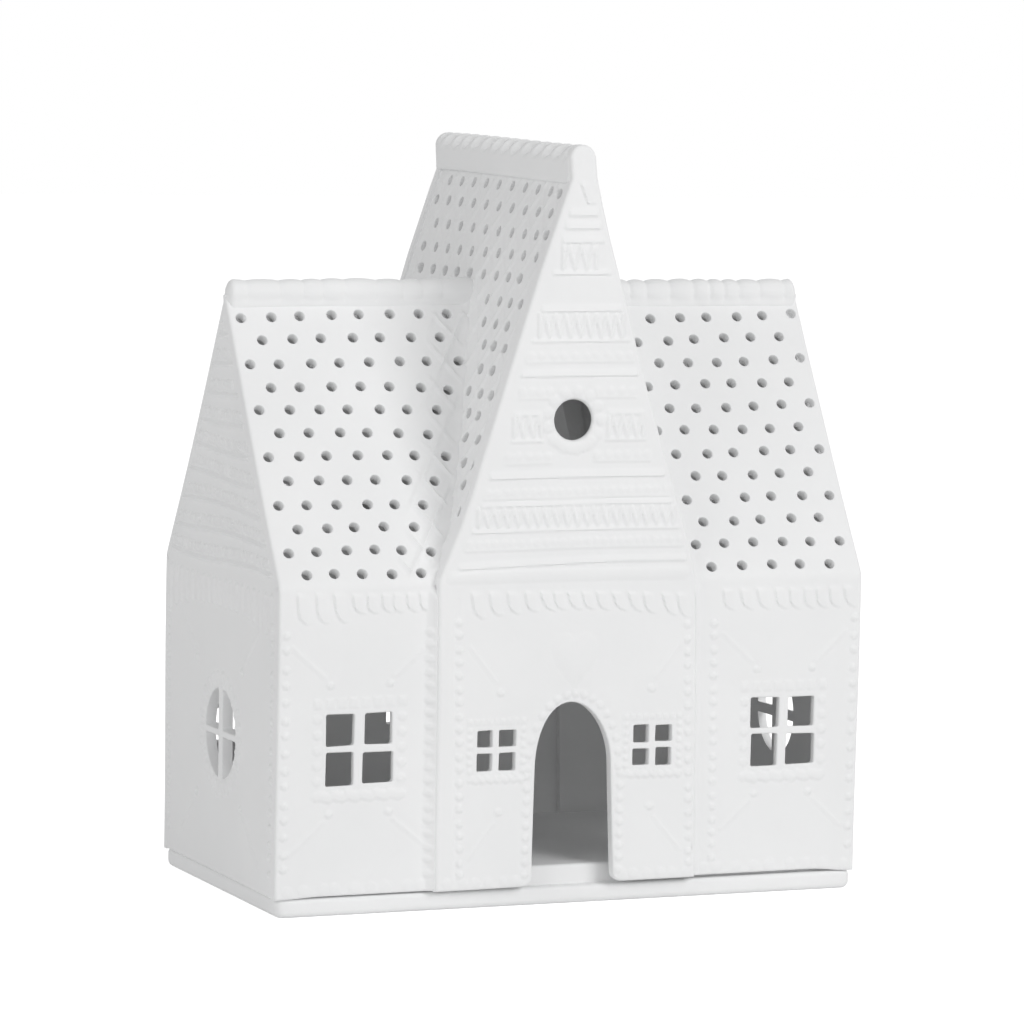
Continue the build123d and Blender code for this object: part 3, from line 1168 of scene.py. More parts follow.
        def mitre(flat: Array) -> Array:
            """Inner edge at the ridge, moved to its mitre along the end and the valley."""
            u, v = flat.T
            down = WALL / math.tan(turn) * np.clip(1.0 + v / 12.0, 0.0, 1.0)
            share = np.clip((u - end) / (top - end), 0.0, 1.0) * (foot - top) / SLOPE
            return np.stack([u + share * down, v - down], axis=1)

        def relief(u: Array, v: Array) -> Array:
            """Lattice between the holes, and clay smeared into the valley."""
            start = (side * 84.9, -7.4)
            away = side * u - self.valley(side, WING_RIDGE + v * WING_RISE / SLOPE)
            near = (1.0 - smooth(9.0, 15.0, away)) * (side < 0)
            held = smooth(0.5, 4.0, v + SLOPE) * smooth(5.5, 8.0, -v)
            cuts, mesh = Clay(u, v), Clay(u, v)
            depths = (0.2, 0.5) if side < 0 else (0.3, 0.26)
            self.lattice(cuts, self.wing_pitch, start, depths, 0.6)
            self.lattice(mesh, self.wing_pitch, start, (-0.8, -0.8), 0.6)
            smear = 1.1 + 0.5 * np.sin(v / 1.5) * np.sin(v / 4.1 + 1.0)
            fillet = smear * np.clip(1.0 - away / 4.0, 0.0, 1.0) ** 2 * smooth(0.3, 4.0, v + SLOPE)
            raised = (cuts.height * (1.0 - near) + mesh.height * near) * held
            return np.maximum(raised, np.where(away > -1.5, fillet, -1.0))

        facet = Facet((0.0, 0.0, WING_RIDGE), ACROSS, (0.0, HALF_DEPTH, WING_RISE))
        openings = self.holes(self.wing_hole_places(side))
        for place, mirror in FRONT_AND_BACK:
            self.add("roof", Slab(f"{label}_{place}_roof", facet, outline, openings, relief,
                                  self.roof_grain, mirror, soft_level=-SLOPE, mitre=mitre))

    def gable_hole_places(self, side: int) -> list[Pair]:
        """Staggered, unevenly punched holes of one tall slope, clear of its ends and valleys.

        Rows over the long roof run from end to end and bow as half a sine; the lower ones
        stand in pairs at both sides of the notch. Sines of the place move each a little.

        Args:
            side: -1 for the left slope, 1 for the right.

        Returns:
            Places on the slope, across and up.
        """
        slope = math.hypot(bay_half(side), GABLE_RISE)
        places = []
        for number in range(self.gable_rows):
            down = self.gable_first_row + 6.75 * number - 0.06 * number * max(number - 8, 0) * 0.1
            height = GABLE_RIDGE - down * GABLE_RISE / slope
            if height > WING_RIDGE + 2.0:
                share = np.arange(10.0) - (0.5 if number % 2 == 0 else 0.0)
                bow = np.sin(math.pi * np.clip(share, 0.0, 5.0) / 5.0)
                spots = (-40.9 + 9.35 * share - bow).tolist()
                spots[0] = max(spots[0], -43.2)
                if number == 4:
                    spots = [spot + 2.4 for spot in spots[1:]]
            else:
                first = self.gable_firsts[number - 5]
                clear = 7.6 if number < 7 else 4.6
                valley = max(roof_out(height), 0.0)
                count = max(0, math.floor((first - valley - clear) / 8.2) + 1)
                spots = [sign * (first - 8.2 * index) for sign in (-1, 1) for index in range(count)]
            for spot in spots:
                tilt = -0.028 * min(spot, 8.0) * (number == 0) - 0.013 * spot * (number == 1)
                wobble = 0.55 * math.sin(spot * 1.3 + number * 1.9) * (abs(spot) < 44.0)
                level = down + tilt + 0.3 * math.sin(spot * 0.7 + number)
                places.append((side * (spot + wobble), -level))
        return places

    def tall_roof(self, side: int, label: str) -> None:
        """One slope of the tall roof, notched over the long roof.

        Args:
            side: -1 for the left slope, 1 for the right.
            label: The slope's name.
        """
        half = bay_half(side)
        slope = math.hypot(half, GABLE_RISE)
        end = BAY_HALF_DEPTH - WALL
        eave = EAVE + (HALF_DEPTH - end) * WING_RISE / HALF_DEPTH
        foot = -slope * (GABLE_RIDGE - eave) / GABLE_RISE
        notch = -slope * (GABLE_RIDGE - WING_RIDGE) / GABLE_RISE - 1.5
        end += 0.3
        corners = [(-end, foot), (0.0, notch), (end, foot), (end, 0.0), (-end, 0.0)]
        outline = rounded_path(corners, [0.0] * 5, [0.0] * 5, 1.0)

        def relief(u: Array, v: Array) -> Array:
            """Raised diamond mesh with a hole in each cell."""
            clay = Clay(u, v)
            start = (side * 42.4, -self.gable_first_row - self.gable_pitch[1])
            self.lattice(clay, self.gable_pitch, start, (-0.6, -0.42), 0.6)
            rim = smooth(0.5, 3.0, end - np.abs(u)) * smooth(8.0, 10.0, -v)
            return clay.height * rim - 0.1 * (np.abs(u) > end - 0.4)

        def bend(points: Array) -> Array:
            """Sinks the slope towards the middle by its sag."""
            moved = points.copy()
            moved[:, 0] -= side * self.sag(side, points[:, 2], points[:, 1])
            return moved

        def mitre(flat: Array) -> Array:
            """Inner edge at the ridge, moved down the slope to the ridge's own plane."""
            near = np.clip(1.0 + flat[:, 1:] / 20.0, 0.0, 1.0)
            return flat - np.array([0.0, WALL * GABLE_RISE / half]) * near

        facet = Facet((RIDGE_X, 0.0, GABLE_RIDGE), (0.0, float(side), 0.0),
                      (-side * half, 0.0, GABLE_RISE))
        openings = self.holes(self.gable_hole_places(side))
        self.add("roof", Slab(f"gable_{label}_roof", facet, outline, openings, relief,
                              self.roof_grain, mitre=mitre, bend=bend))

    def end_wall(self, side: int, label: str) -> None:
        """Gabled end wall with its round window.

        Args:
            side: -1 for the left end, 1 for the right.
            label: The end's name.
        """
        lap = WALL - 0.4
        turn = math.atan2(HALF_DEPTH, WING_RISE)
        out, apex = HALF_DEPTH - lap, WING_RIDGE - lap / math.sin(turn)
        shoulder = apex - out / math.tan(turn)
        corners = [(-out, FOOT), (out, FOOT), (out, shoulder), (0.0, apex), (-out, shoulder)]
        outline = rounded_path(corners, [0.0] * 5, [self.foot_rim] + [0.0] * 4, 0.8)
        window = (1.0 if side < 0 else 0.3, 45.4)
        openings = quarter_holes(window, self.end_window, self.end_bars, 0.7, 0.45, 0.6)

        def relief(u: Array, v: Array) -> Array:
            """Ring of dashes, rays, drips, corner beads, and bands of ticks over ledges."""
            clay = Clay(u, v)
            for angle in math.tau * np.arange(26) / 26.0:
                across, up = math.cos(angle), math.sin(angle)
                first, last = ((window[0] + far * across, window[1] + far * up)
                               for far in (14.4, 16.8))
                clay.ridge(first, last, 1.0, 0.36)
            self.ornament.diagonals(clay, (0.0, 45.5), (20.5, 21.5), (33.0, 33.0))
            for edge in (-43.2, 43.2):
                clay.beads(row((edge, 12.0), (edge, 80.0), 17, 0.4), 1.1, 0.5)
            for number in range(19):
                mid = -42.5 + 4.7 * number
                longer = 6.5 + 5.0 * abs(mid / 42.5) ** 3
                clay.ridge((mid, 88.0), (mid + 0.5, 88.0 - longer), 0.8, 0.5, 0.8)
            tick = np.abs(np.mod(u / 2.6 + 0.5, 1.0) - 0.5) * 2.6
            ticks = (1.0 - smooth(0.45, 0.9, tick)) * (np.abs(u) < roof_out(v) - 4.5)
            for number in range(9):
                level = 93.5 + 7.9 * number
                reach = roof_out(level) - 4.5
                if reach < 2.5:
                    continue
                over = v - (level + 0.7 * np.sin(u / 14.0 + number))
                board = 0.55 * np.clip(1.0 - (np.abs(over) / 0.8) ** 2, 0.0, 1.0)
                clay.lift(board * (np.abs(u) < reach))
                band = smooth(1.3, 1.9, over) * (1.0 - smooth(3.9, 4.5, over))
                gaps = np.abs(np.sin(number * 1.9 + u / 9.0)) > 0.12
                clay.lift(0.5 * ticks * band * gaps)
            return np.minimum(clay.height * 1.55, 0.9)

        facet = Facet((side * (HALF_WIDTH - 0.05), 0.0, 0.0), (0.0, float(side), 0.0), UP)
        self.add("house", Slab(f"{label}_end_wall", facet, outline, openings, relief,
                               self.fine * 1.15, flare=-1.2))

    def rake(self, level: float, inset: float, right_inset: float | None = None) -> Pair:
        """Limits of the gable's field at a height, inside its rakes.

        Args:
            level: The height.
            inset: Distance from the left rake, and from the right one too if it has none.
            right_inset: Distance from the right rake.

        Returns:
            The left and the right limit.
        """
        left, right = (float(np.interp(level, rake[1], rake[0]))
                       for rake in (self.left_rake, self.right_rake))
        return left + inset, right - (inset if right_inset is None else right_inset)

    def zigzag(self, clay: Clay, low: float, high: float, span: Pair, pitch: float) -> None:
        """A raised zigzag between two ledges, as a triangle wave of the given pitch.

        Args:
            clay: The face.
            low: Level of its lower points.
            high: Level of its upper points.
            span: Left and right limit.
            pitch: Length of one wave.
        """
        phase = np.mod((clay.u - span[0]) / pitch, 1.0)
        wave = low + (high - low) * (1.0 - np.abs(2.0 * phase - 1.0))
        slant = math.hypot(1.0, 2.0 * (high - low) / pitch)
        gap = np.abs(clay.v - wave) / slant
        held = (clay.u > span[0]) & (clay.u < span[1])
        held &= (clay.v > low - 0.6) & (clay.v < high + 0.6)
        clay.lift(0.5 * np.clip(1.0 - (gap / 0.6) ** 2, 0.0, 1.0) ** 0.7 * held)
        for end in span:
            clay.ridge((end, low), (end, high), 0.55, 0.5)

    def ledge(self, clay: Clay, level: float, rise: float, height: float, span: Pair | None = None,
              slope: float = 0.012) -> None:
        """A course like a thin board, which slopes out to a sharp lower edge.

        Args:
            clay: The face.
            level: Level of its lower edge at the right.
            rise: How far up it reaches.
            height: Height of its lower edge.
            span: Left and right limit, or none for the width inside the rakes.
            slope: How much it falls towards the left.
        """
        left, right = span or self.rake(level, 3.4, 1.7)
        up = clay.v - (level - slope * np.clip(10.0 - clay.u, 0.0, None))
        board = np.where(up > 0.0, np.clip(1.0 - up / rise, 0.0, 1.0), smooth(-0.5, 0.0, up))
        held = smooth(left, left + 0.8, clay.u) * (1.0 - smooth(right - 0.8, right, clay.u))
        clay.lift(height * board * held)
        clay.cut(0.16 * np.exp(-(((up + 0.75) / 0.35) ** 2)) * held)

    def gable_ornament(self, clay: Clay) -> None:
        """Boards, zigzags and bead rows of the tall gable, from its foot to its top."""
        left, right = self.rake(93.6, 3.4)
        clay.ridge((left, 92.9), (right, 93.0), 2.0, 0.34, 1.0)
        self.ledge(clay, 96.6, 1.9, 0.55, slope=0.03)
        for level, count in ((102.4, 26), (116.5, 21)):
            left, right = self.rake(level, 4.8, 3.0)
            clay.beads(row((left, level - 0.7), (right, level), count, 0.2), 1.35, 0.36)
            self.ledge(clay, level - 1.9, 3.4, 0.3)
        self.ledge(clay, 105.6, 1.4, 0.45)
        self.zigzag(clay, 106.9, 111.6, self.rake(109.5, 4.2, 2.6), 3.0)
        self.ledge(clay, 112.7, 1.5, 0.45)
        self.ledge(clay, 120.4, 2.2, 0.6)
        for first, last, level, count in ((-22.5, -10.5, 125.9, 5), (4.5, 19.5, 126.2, 6),
                                          (-18.5, -10.5, 143.8, 4), (4.5, 14.5, 144.0, 4)):
            clay.beads(row((first, level), (last, level), count, 0.2), 1.4, 0.36)
            self.ledge(clay, level - 1.7, 3.2, 0.28, (first - 1.5, last + 1.5))
        for first, last in ((-21.6, -12.4), (6.8, 18.6)):
            self.ledge(clay, 137.7, 1.5, 0.45, (first, last))
            self.zigzag(clay, 131.6, 136.8, (first + 0.6, last - 0.6), 2.9)
            self.ledge(clay, 130.4, 1.3, 0.45, (first - 0.6, last + 0.6))
        petals, low = math.tau * np.arange(13) / 13.0, np.radians(np.linspace(225.0, 315.0, 12))
        for angles, far, size, height in ((petals, 8.2, 1.65, 0.4), (low, 7.9, 1.6, 0.5)):
            around = np.stack([np.cos(angles), np.sin(angles)], axis=1)
            clay.beads(self.ring + far * around, size, height)
        self.ledge(clay, 148.5, 2.0, 0.6)
        left, right = self.rake(153.8, 5.0, 3.0)
        clay.beads(row((left, 153.6), (right, 153.9), 10, 0.2), 1.35, 0.34)
        self.ledge(clay, 152.2, 3.2, 0.28)
        self.ledge(clay, 158.0, 1.3, 0.45)
        self.zigzag(clay, 159.3, 165.2, self.rake(163.5, 4.2, 2.6), 3.1)
        self.ledge(clay, 166.4, 2.0, 0.55)
        self.ledge(clay, 176.6, 1.4, 0.55, (-10.9, 7.2))
        self.zigzag(clay, 178.0, 184.4, (-7.6, 2.4), 3.6)
        for level, inset in ((185.4, 3.0), (189.2, 2.6), (192.8, 2.4)):
            self.ledge(clay, level, 2.2, 0.6, self.rake(level, inset, 2.2))
        share = np.clip((202.7 - clay.v) / 7.0, 0.0, 1.0)
        wedge = clay.u - (-3.1 + 2.7 * share)
        clay.lift(0.55 * smooth(-0.3, 0.1, wedge) * np.clip(1.0 - wedge / 3.0, 0.0, 1.0)
                  * smooth(0.0, 0.3, share) * (share < 1.0))

    def heart(self, clay: Clay) -> None:
        """A low puffy heart over the doorway: x x + (y - 0.72 sqrt |x|) ** 2 under 1."""
        across = (clay.u + 1.6) / 6.9
        up = (clay.v - 67.4) / 6.9
        shape = 1.0 - across ** 2 - (up - 0.72 * np.sqrt(np.abs(across) + 1e-4)) ** 2
        clay.lift(0.42 * np.clip(shape, 0.0, 1.0) ** 0.8)

    def centre_wall(self, front: bool) -> None:
        """Wall of the bay with its gable; the doorway is at the front only.

        Args:
            front: True at the front.
        """
        left, right, spring, rise = self.doorway
        middle, half = (left + right) / 2.0, (right - left) / 2.0
        lower = [(BAY_LEFT, FOOT)]
        radii, rims = [0.0], [self.foot_rim]
        if front:
            arch = [(middle + half * math.cos(a) - math.sin(a) ** 2, spring + rise * math.sin(a))
                    for a in np.linspace(math.pi, 0.0, 25)]
            lower += [(left - 0.3, FOOT)] + arch + [(right + 1.5, FOOT)]
            radii += [2.8] + [0.0] * len(arch) + [2.8]
            rims += [0.5] * (len(arch) + 1) + [self.foot_rim]
        crest = 208.15 + (0.0 if front else 1.2)
        reach = self.roll_radius
        cap = [(self.roll_x + reach * math.cos(a), crest + reach * math.sin(a))
               for a in np.radians(np.linspace(8.0, 172.0, 15))]
        upper = [(BAY_RIGHT, FOOT), *zip(*self.right_rake), *cap, *list(zip(*self.left_rake))[::-1]]
        radii += [0.0, 3.0] + [0.0] * (len(upper) - 3) + [3.0]
        rims += [1.0] * len(upper)
        outline = rounded_path(lower + upper, radii, rims, 0.7)
        windows = self.bay_windows[front]
        openings = [round_hole(self.ring, 5.65, 48, 1.1)]
        for mid in windows:
            openings += pane_holes((mid, self.bay_level), self.bay_window, self.bay_bars, 0.45,
                                   0.35, 0.4)

        def relief(u: Array, v: Array) -> Array:
            """All the ornament of the bay and its gable."""
            clay = Clay(u, v)
            self.gable_ornament(clay)
            mids = (-33.2, -27.9, -22.5, -17.1, -12.6, -8.4, -4.4, 0.2, 4.6, 9.4, 14.3, 19.1,
                    25.1, 30.0)
            drips = [(mid - 0.3, 89.4 - 0.025 * (mid + 33.0), 5.6 + 2.4 * abs(mid / 32.0) ** 2)
                     for mid in mids]
            self.ornament.icicles(clay, drips, 0.24)
            self.ornament.edge(clay, (-35.8, 9.5), (-37.0, 80.5), 20, 0.25)
            self.ornament.edge(clay, (34.2, 9.5), (33.2, 78.0), 19, 0.25)
            for mid in windows:
                self.ornament.frame(clay, (mid, self.bay_level), (8.2, 8.1), (7, 8), 0.85)
            for mid, way in ((-24.7, -1.0), (22.8, 1.0)):
                for side, near, far in ((1.0, 19.4, 29.3), (-1.0, 20.4, 30.4)):
                    inner, outer, dot = (
                        (mid + way * out, 44.3 + side * up)
                        for out, up in ((0.7, near), (8.8, far), (-0.7, near - 3.2)))
                    clay.ridge(inner, outer, 0.9, 0.18, 1.3)
                    clay.beads(np.array([dot]), 1.2, 0.5)
            self.heart(clay)
            if front:
                jamb = np.linspace(FOOT + 3.5, spring - 2.0, 9)
                arc = np.linspace(math.pi, 0.0, 17)
                arch = np.stack([middle + (half + 2.4) * np.cos(arc),
                                 spring + (rise + 2.4) * np.sin(arc)], axis=1)
                sides = [np.stack([np.full(9, spot), jamb], axis=1)
                         for spot in (left - 2.5, right + 2.9)]
                clay.beads(np.concatenate([arch] + sides), 1.15, 0.48)
            for start, end in ((BAY_LEFT + 4.0, -18.0), (14.0, BAY_RIGHT - 3.0)):
                clay.beads(row((start, FOOT + 2.2), (end, FOOT + 2.0), 6, 0.5), 1.5, 0.3)
            groove = smooth(-38.4, -37.9, u) * (1.0 - smooth(-37.4, -36.2, u)) * (v < EAVE - 4.0)
            clay.cut(0.16 * groove)
            return np.minimum(clay.height, RAISE)

        facet = Facet((0.0, -BAY_HALF_DEPTH, 0.0), ACROSS, UP)
        place, mirror = FRONT_AND_BACK[not front]
        self.add("house", Slab(f"{place}_centre_wall", facet, outline, openings, relief,
                               self.fine * (1.0 if front else 1.2), mirror, flare=0.8))

    def roll_mesh(self, name: str, centre: Move, ends: Pair, radius: Height, cap: float, axis: int,
                  counts: tuple[int, int], turned: bool) -> Piece:
        """A roll of clay with domed ends: centre(s) + r(s, a) * (cos a across, sin a up).

        Args:
            name: The piece's name.
            centre: Middle of the roll at the lengths s.
            ends: First and last length.
            radius: Radius at a length and an angle.
            cap: Length of each domed end.
            axis: 0 along X, 1 along Y.
            counts: Points along and round.
            turned: True to turn its faces over.

        Returns:
            The roll's object.
        """
        lengths = np.linspace(ends[0], ends[1], counts[0])
        lengths[1:4] = ends[0] + cap * np.array([0.04, 0.18, 0.5])
        lengths[-4:-1] = ends[1] - cap * np.array([0.5, 0.18, 0.04])
        angles = np.linspace(0.0, math.tau, counts[1], endpoint=False)
        s, a = np.meshgrid(lengths, angles, indexing="ij")
        near = np.minimum(s - ends[0], ends[1] - s) / cap
        dome = np.sqrt(np.clip(1.0 - (1.0 - np.clip(near, 0.0, 1.0)) ** 2, 0.0, 1.0))
        size = radius(s, a) * dome
        points = centre(s.ravel())
        points[:, 1 - axis] += (size * np.cos(a)).ravel()
        points[:, 2] += (size * np.sin(a)).ravel()
        rings = np.arange(len(points)).reshape(counts)
        return write_rings(name, settle(points), rings, 70.0, turned)

    def tall_roll(self) -> None:
        """Roll along the tall ridge, pressed on, with slanted cuts over its upper sides."""
        end = BAY_HALF_DEPTH - 0.9
        pitch, wide = 7.45, self.roll_radius

        def centre(s: Array) -> Array:
            """Along the ridge, a little higher at the back."""
            level = 208.05 + 1.25 * smooth(-52.0, 44.0, s)
            return np.stack([np.full_like(s, self.roll_x), s, level], axis=1)

        def radius(s: Array, a: Array) -> Array:
            """A half circle over a foot that spreads onto the slopes, less slanted steps.

            Below the middle the sides run straight down, a radius apart from it, to the slopes.
            Each step sinks over the first 0.28 of the phase and rises again as a power.
            """
            ratio = np.abs(np.cos(a)) / np.maximum(-np.sin(a), 1e-6)
            low = np.minimum(wide / np.maximum(ratio, 1e-6), 6.7) * np.hypot(1.0, ratio)
            round_top = np.where(np.sin(a) > -1e-3, wide, low)
            lean = np.where(np.cos(a) < 0.0, math.pi - a, a)
            phase = np.mod(-(s + 1.7 * lean) / pitch - 0.06 * np.sin(s / 5.0), 1.0)
            step = np.where(phase < 0.28, phase / 0.28,
                            np.clip((1.0 - phase) / 0.72, 0.0, 1.0) ** 1.9)
            side = smooth(-0.25, 0.4, np.sin(a)) * (1.0 - 0.65 * smooth(0.75, 1.0, np.sin(a)))
            inner = smooth(1.5, 4.0, end - np.abs(s))
            return round_top + 0.1 - 1.75 * step * side * inner

        piece = self.roll_mesh("gable_ridge_roll_clay", centre, (-end, end), radius, 0.8, 1,
                               (380, 64), False)
        self.finish_piece(piece, "ridge", "gable_ridge_roll")

    def wing_roll(self, side: int, label: str) -> None:
        """Row of clay pads pressed over one wing's ridge and smoothed onto its slopes.

        Args:
            side: -1 for the left wing, 1 for the right.
            label: The wing's name.
        """
        level = WING_RIDGE - 0.5
        outer = HALF_WIDTH - 0.4
        inner = float(self.valley(side, WING_RIDGE)) - 4.0
        pitch, lumpy = (7.4, 0.5) if side < 0 else (5.9, 0.75)

        def centre(s: Array) -> Array:
            """Along the ridge, with a slow rise and fall."""
            return np.stack([side * s, np.zeros_like(s), level + 0.2 * np.sin(s / 9.0)], axis=1)

        def radius(s: Array, a: Array) -> Array:
            """Radius by the angle from the top, thin where it runs out on the slopes."""
            turn = np.degrees(np.abs(np.mod(a - math.pi / 2.0 + math.pi, math.tau) - math.pi))
            base = np.interp(turn, (0.0, 30.0, 60.0, 90.0, 110.0, 125.0, 140.0, 152.0, 180.0),
                             (4.3, 4.0, 3.4, 3.05, 2.9, 3.1, 3.9, 4.2, 2.0))
            pad = np.abs(np.sin(math.pi * (s + 1.5 * np.sin(s / 5.0)) / pitch)) ** 0.55
            slow = 0.2 * np.sin(s / 6.3 + 2.0 * np.cos(a))
            return base + (lumpy * (pad - 0.7) + slow) * (1.0 - smooth(95.0, 150.0, turn))

        name = f"{label}_ridge_roll"
        piece = self.roll_mesh(f"{name}_clay", centre, (inner, outer), radius, 2.2, 0, (230, 48),
                               side > 0)
        self.finish_piece(piece, "ridge", name)


# The base


def level_ring(loop: Loop, inset: float, level: float) -> Array:
    """The loop moved in by the inset, in shares of its rims, and laid at a level."""
    return np.column_stack([loop.points - loop.shift * inset, np.full(len(loop.points), level)])


@dataclass
class Base:
    """Plate under the walls and raised plinth inside them."""

    finish: Material
    inset: float = 0.75
    corner: float = 2.5
    plinth_inset: float = 4.0
    hollow_inset: float = 7.6
    floor_under: float = 7.1

    def outline(self, inset: float, corner: float) -> Loop:
        """Rounded rectangle inside the outer wall faces by the inset."""
        u, v = HALF_WIDTH - inset, HALF_DEPTH - inset
        corners = [(-u, -v), (u, -v), (u, v), (-u, v)]
        return rounded_path(corners, [corner] * 4, [1.0] * 4, 2.0)

    def sweep(self, loop: Loop, profile: Array) -> tuple[Array, Array]:
        """Profile of inset and height, carried round a loop and closed on itself.

        Args:
            loop: Path of the profile.
            profile: Rows of inset and height, from outside the clay to its left.

        Returns:
            Points and triangles.
        """
        rings = [level_ring(loop, inset, level) for inset, level in profile]
        numbers = np.arange(len(loop.points) * len(rings)).reshape(len(rings), -1)
        triangles = [strip(one, two) for one, two in zip(numbers, np.roll(numbers, -1, axis=0))]
        return np.concatenate(rings), np.concatenate(triangles)

    def arc(self, centre: Pair, radius: float, start: float, count: int) -> Array:
        """Quarter round of a profile: centre + r (cos a, sin a) in inset and height."""
        angles = np.radians(np.linspace(start, start + 90.0, count))
        return centre + radius * np.stack([np.cos(angles), np.sin(angles)], axis=1)

    def build(self) -> None:
        """Builds the plate and the plinth."""
        loop = self.outline(self.inset, self.corner)
        low, top = 1.9, 1.2
        deep = self.hollow_inset - self.inset
        profile = np.concatenate([
            [(deep, FOOT)],
            self.arc((top, FOOT - top), top, 90.0, 6),
            self.arc((low, low), low, 180.0, 9),
            [(deep, 0.0)],
        ])
        points, triangles = self.sweep(loop, profile)
        plate = write_mesh("base_plate_clay", points, triangles, 40.0)
        dress(plate, Body.BASE, "base", self.finish, "base_plate")

        loop = self.outline(self.plinth_inset, self.corner)
        inner = self.outline(self.hollow_inset, self.corner)
        edge = 0.9
        rims = self.arc((edge, PLINTH_TOP - edge), edge, 90.0, 6)
        rings = [level_ring(loop, inset, level) for inset, level in rims]
        flat, face = fill([rings[0][:, :2]], 3.0)
        parts = [np.column_stack([flat, np.full(len(flat), PLINTH_TOP)])]
        count = len(loop.points)
        numbers, total = np.arange(count), len(flat)
        triangles = [face]
        sides = ((loop, FOOT), (inner, FOOT), (inner, self.floor_under))
        for ring in rings[1:] + [level_ring(path, 0.0, level) for path, level in sides]:
            following = total + np.arange(count)
            parts.append(ring)
            triangles.append(strip(numbers, following))
            numbers, total = following, total + count
        below, under = fill([inner.points], 9.0)
        chosen = np.concatenate([numbers, total + np.arange(len(below) - count)])
        middle = below[count:]
        parts.append(np.column_stack([middle, np.full(len(middle), self.floor_under)]))
        triangles.append(chosen[under][:, ::-1])
        plinth = write_mesh("base_plinth_clay", np.concatenate(parts), np.concatenate(triangles),
                            40.0)
        dress(plinth, Body.BASE, "base", self.finish, "base_plinth")


# The tealight


@dataclass
class Tealight:
    """Pressed cup, wax and wick, stood on the plinth."""

    finishes: Finishes
    place: Pair = (-18.0, 4.0)
    radius: float = 19.25
    height: float = 15.5
    flutes: int = 40
    around: int = 160

    def turned(self, name: str, profile: Array, flute: Array) -> Piece:
        """Surface of revolution with flutes: r(a) = r + depth * cos(n a).

        Args:
            name: The piece's name.
            profile: Rows of radius and height, closed at the axis at both ends.
            flute: Depth of the flutes at each row.

        Returns:
            The object.
        """
        angles = np.linspace(0.0, math.tau, self.around, endpoint=False)
        points = []
        for (radius, level), depth in zip(profile, flute):
            width = radius + depth * np.cos(self.flutes * angles)
            points.append(np.stack([self.place[0] + width * np.cos(angles),
                                    self.place[1] + width * np.sin(angles),
                                    np.full(self.around, PLINTH_TOP + level)], axis=1))
        rings = np.arange(self.around * len(profile)).reshape(len(profile), self.around)
        return write_rings(name, np.concatenate(points), rings, 45.0)

    def build(self) -> None:
        """Builds the cup, the wax and the wick, and dresses the tab."""
        r, h = self.radius, self.height
        top = h - 1.6
        cup = np.array([
            (0.0, 0.35), (r - 1.2, 0.35), (r - 0.45, 1.0), (r - 0.35, h - 0.8), (r - 0.3, h - 0.3),
            (r + 0.05, h - 0.02), (r + 0.45, h - 0.25), (r + 0.5, h - 0.6), (r + 0.2, h - 0.9),
            (r - 0.1, h - 1.0), (r - 0.1, 1.2), (r - 0.6, 0.35), (r - 1.3, 0.0), (0.0, 0.0),
        ])
        wax = np.array([
            (0.0, top), (1.2, top - 0.05), (3.0, top - 0.15), (12.0, top - 0.2),
            (r - 2.0, top - 0.1), (r - 0.8, top + 0.25), (r - 0.5, top + 0.1), (r - 0.5, 1.2),
            (r - 1.3, 0.4), (0.0, 0.4),
        ])
        depth = np.array([0.0, 0.0, 0.06, 0.12, 0.0, 0.0, 0.0, 0.0, 0.0, 0.12, 0.1, 0.0, 0.0, 0.0])
        piece = self.turned("tealight_cup_sheet", cup, depth)
        dress(piece, Body.TEALIGHT, "cup", self.finishes.cup, "tealight_cup")
        piece = self.turned("tealight_wax_fill", wax, np.zeros(len(wax)))
        dress(piece, Body.TEALIGHT, "wax", self.finishes.wax, "tealight_wax")
        self.build_wick(top)
        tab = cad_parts["wick_sustainer"]
        tab.data.materials.clear()
        tab.data.materials.append(self.finishes.tab)

    def build_wick(self, top: float) -> None:
        """Braided wick with a slight bend: r = 0.62 + 0.08 cos(3 a - twist * height).

        Args:
            top: Level of the wax over the cup's foot.
        """
        levels = np.linspace(0.35, top + 6.7, 60)
        angles = np.linspace(0.0, math.tau, 18, endpoint=False)
        z, a = np.meshgrid(levels, angles, indexing="ij")
        close = np.clip((levels[-1] - z) / 0.6, 0.0, 1.0)
        open_foot = np.clip((z - levels[0]) / 0.3, 0.0, 1.0)
        size = (0.62 + 0.08 * np.cos(3.0 * a - 2.2 * z)) * np.sqrt(close * open_foot)
        bend = 0.05 * np.clip(z - top, 0.0, None) ** 1.5 * 0.3
        points = np.stack([self.place[0] + size * np.cos(a) + bend,
                           self.place[1] + size * np.sin(a), PLINTH_TOP + z], axis=-1)
        rings = np.arange(z.size).reshape(z.shape)[::-1]
        piece = write_rings("tealight_wick_braid", points.reshape(-1, 3), rings, 80.0)
        dress(piece, Body.TEALIGHT, "wick", self.finishes.wick, "tealight_wick")


# The studio


def place_object(name: str, data: bpy.types.ID, ways: list[Array], place: Array) -> Piece:
    """Adds an object that is turned and put in its place.

    Args:
        name: Its name.
        data: Its camera or lamp.
        ways: Where its own X, Y and Z point.
        place: Its place in metres.

    Returns:
        The object.
    """
    matrix = np.eye(4)
    matrix[:3] = np.column_stack([*ways, place])
    item = bpy.data.objects.new(name, data)
    item.matrix_world = Matrix(matrix.tolist())
    bpy.context.scene.collection.objects.link(item)
    return item


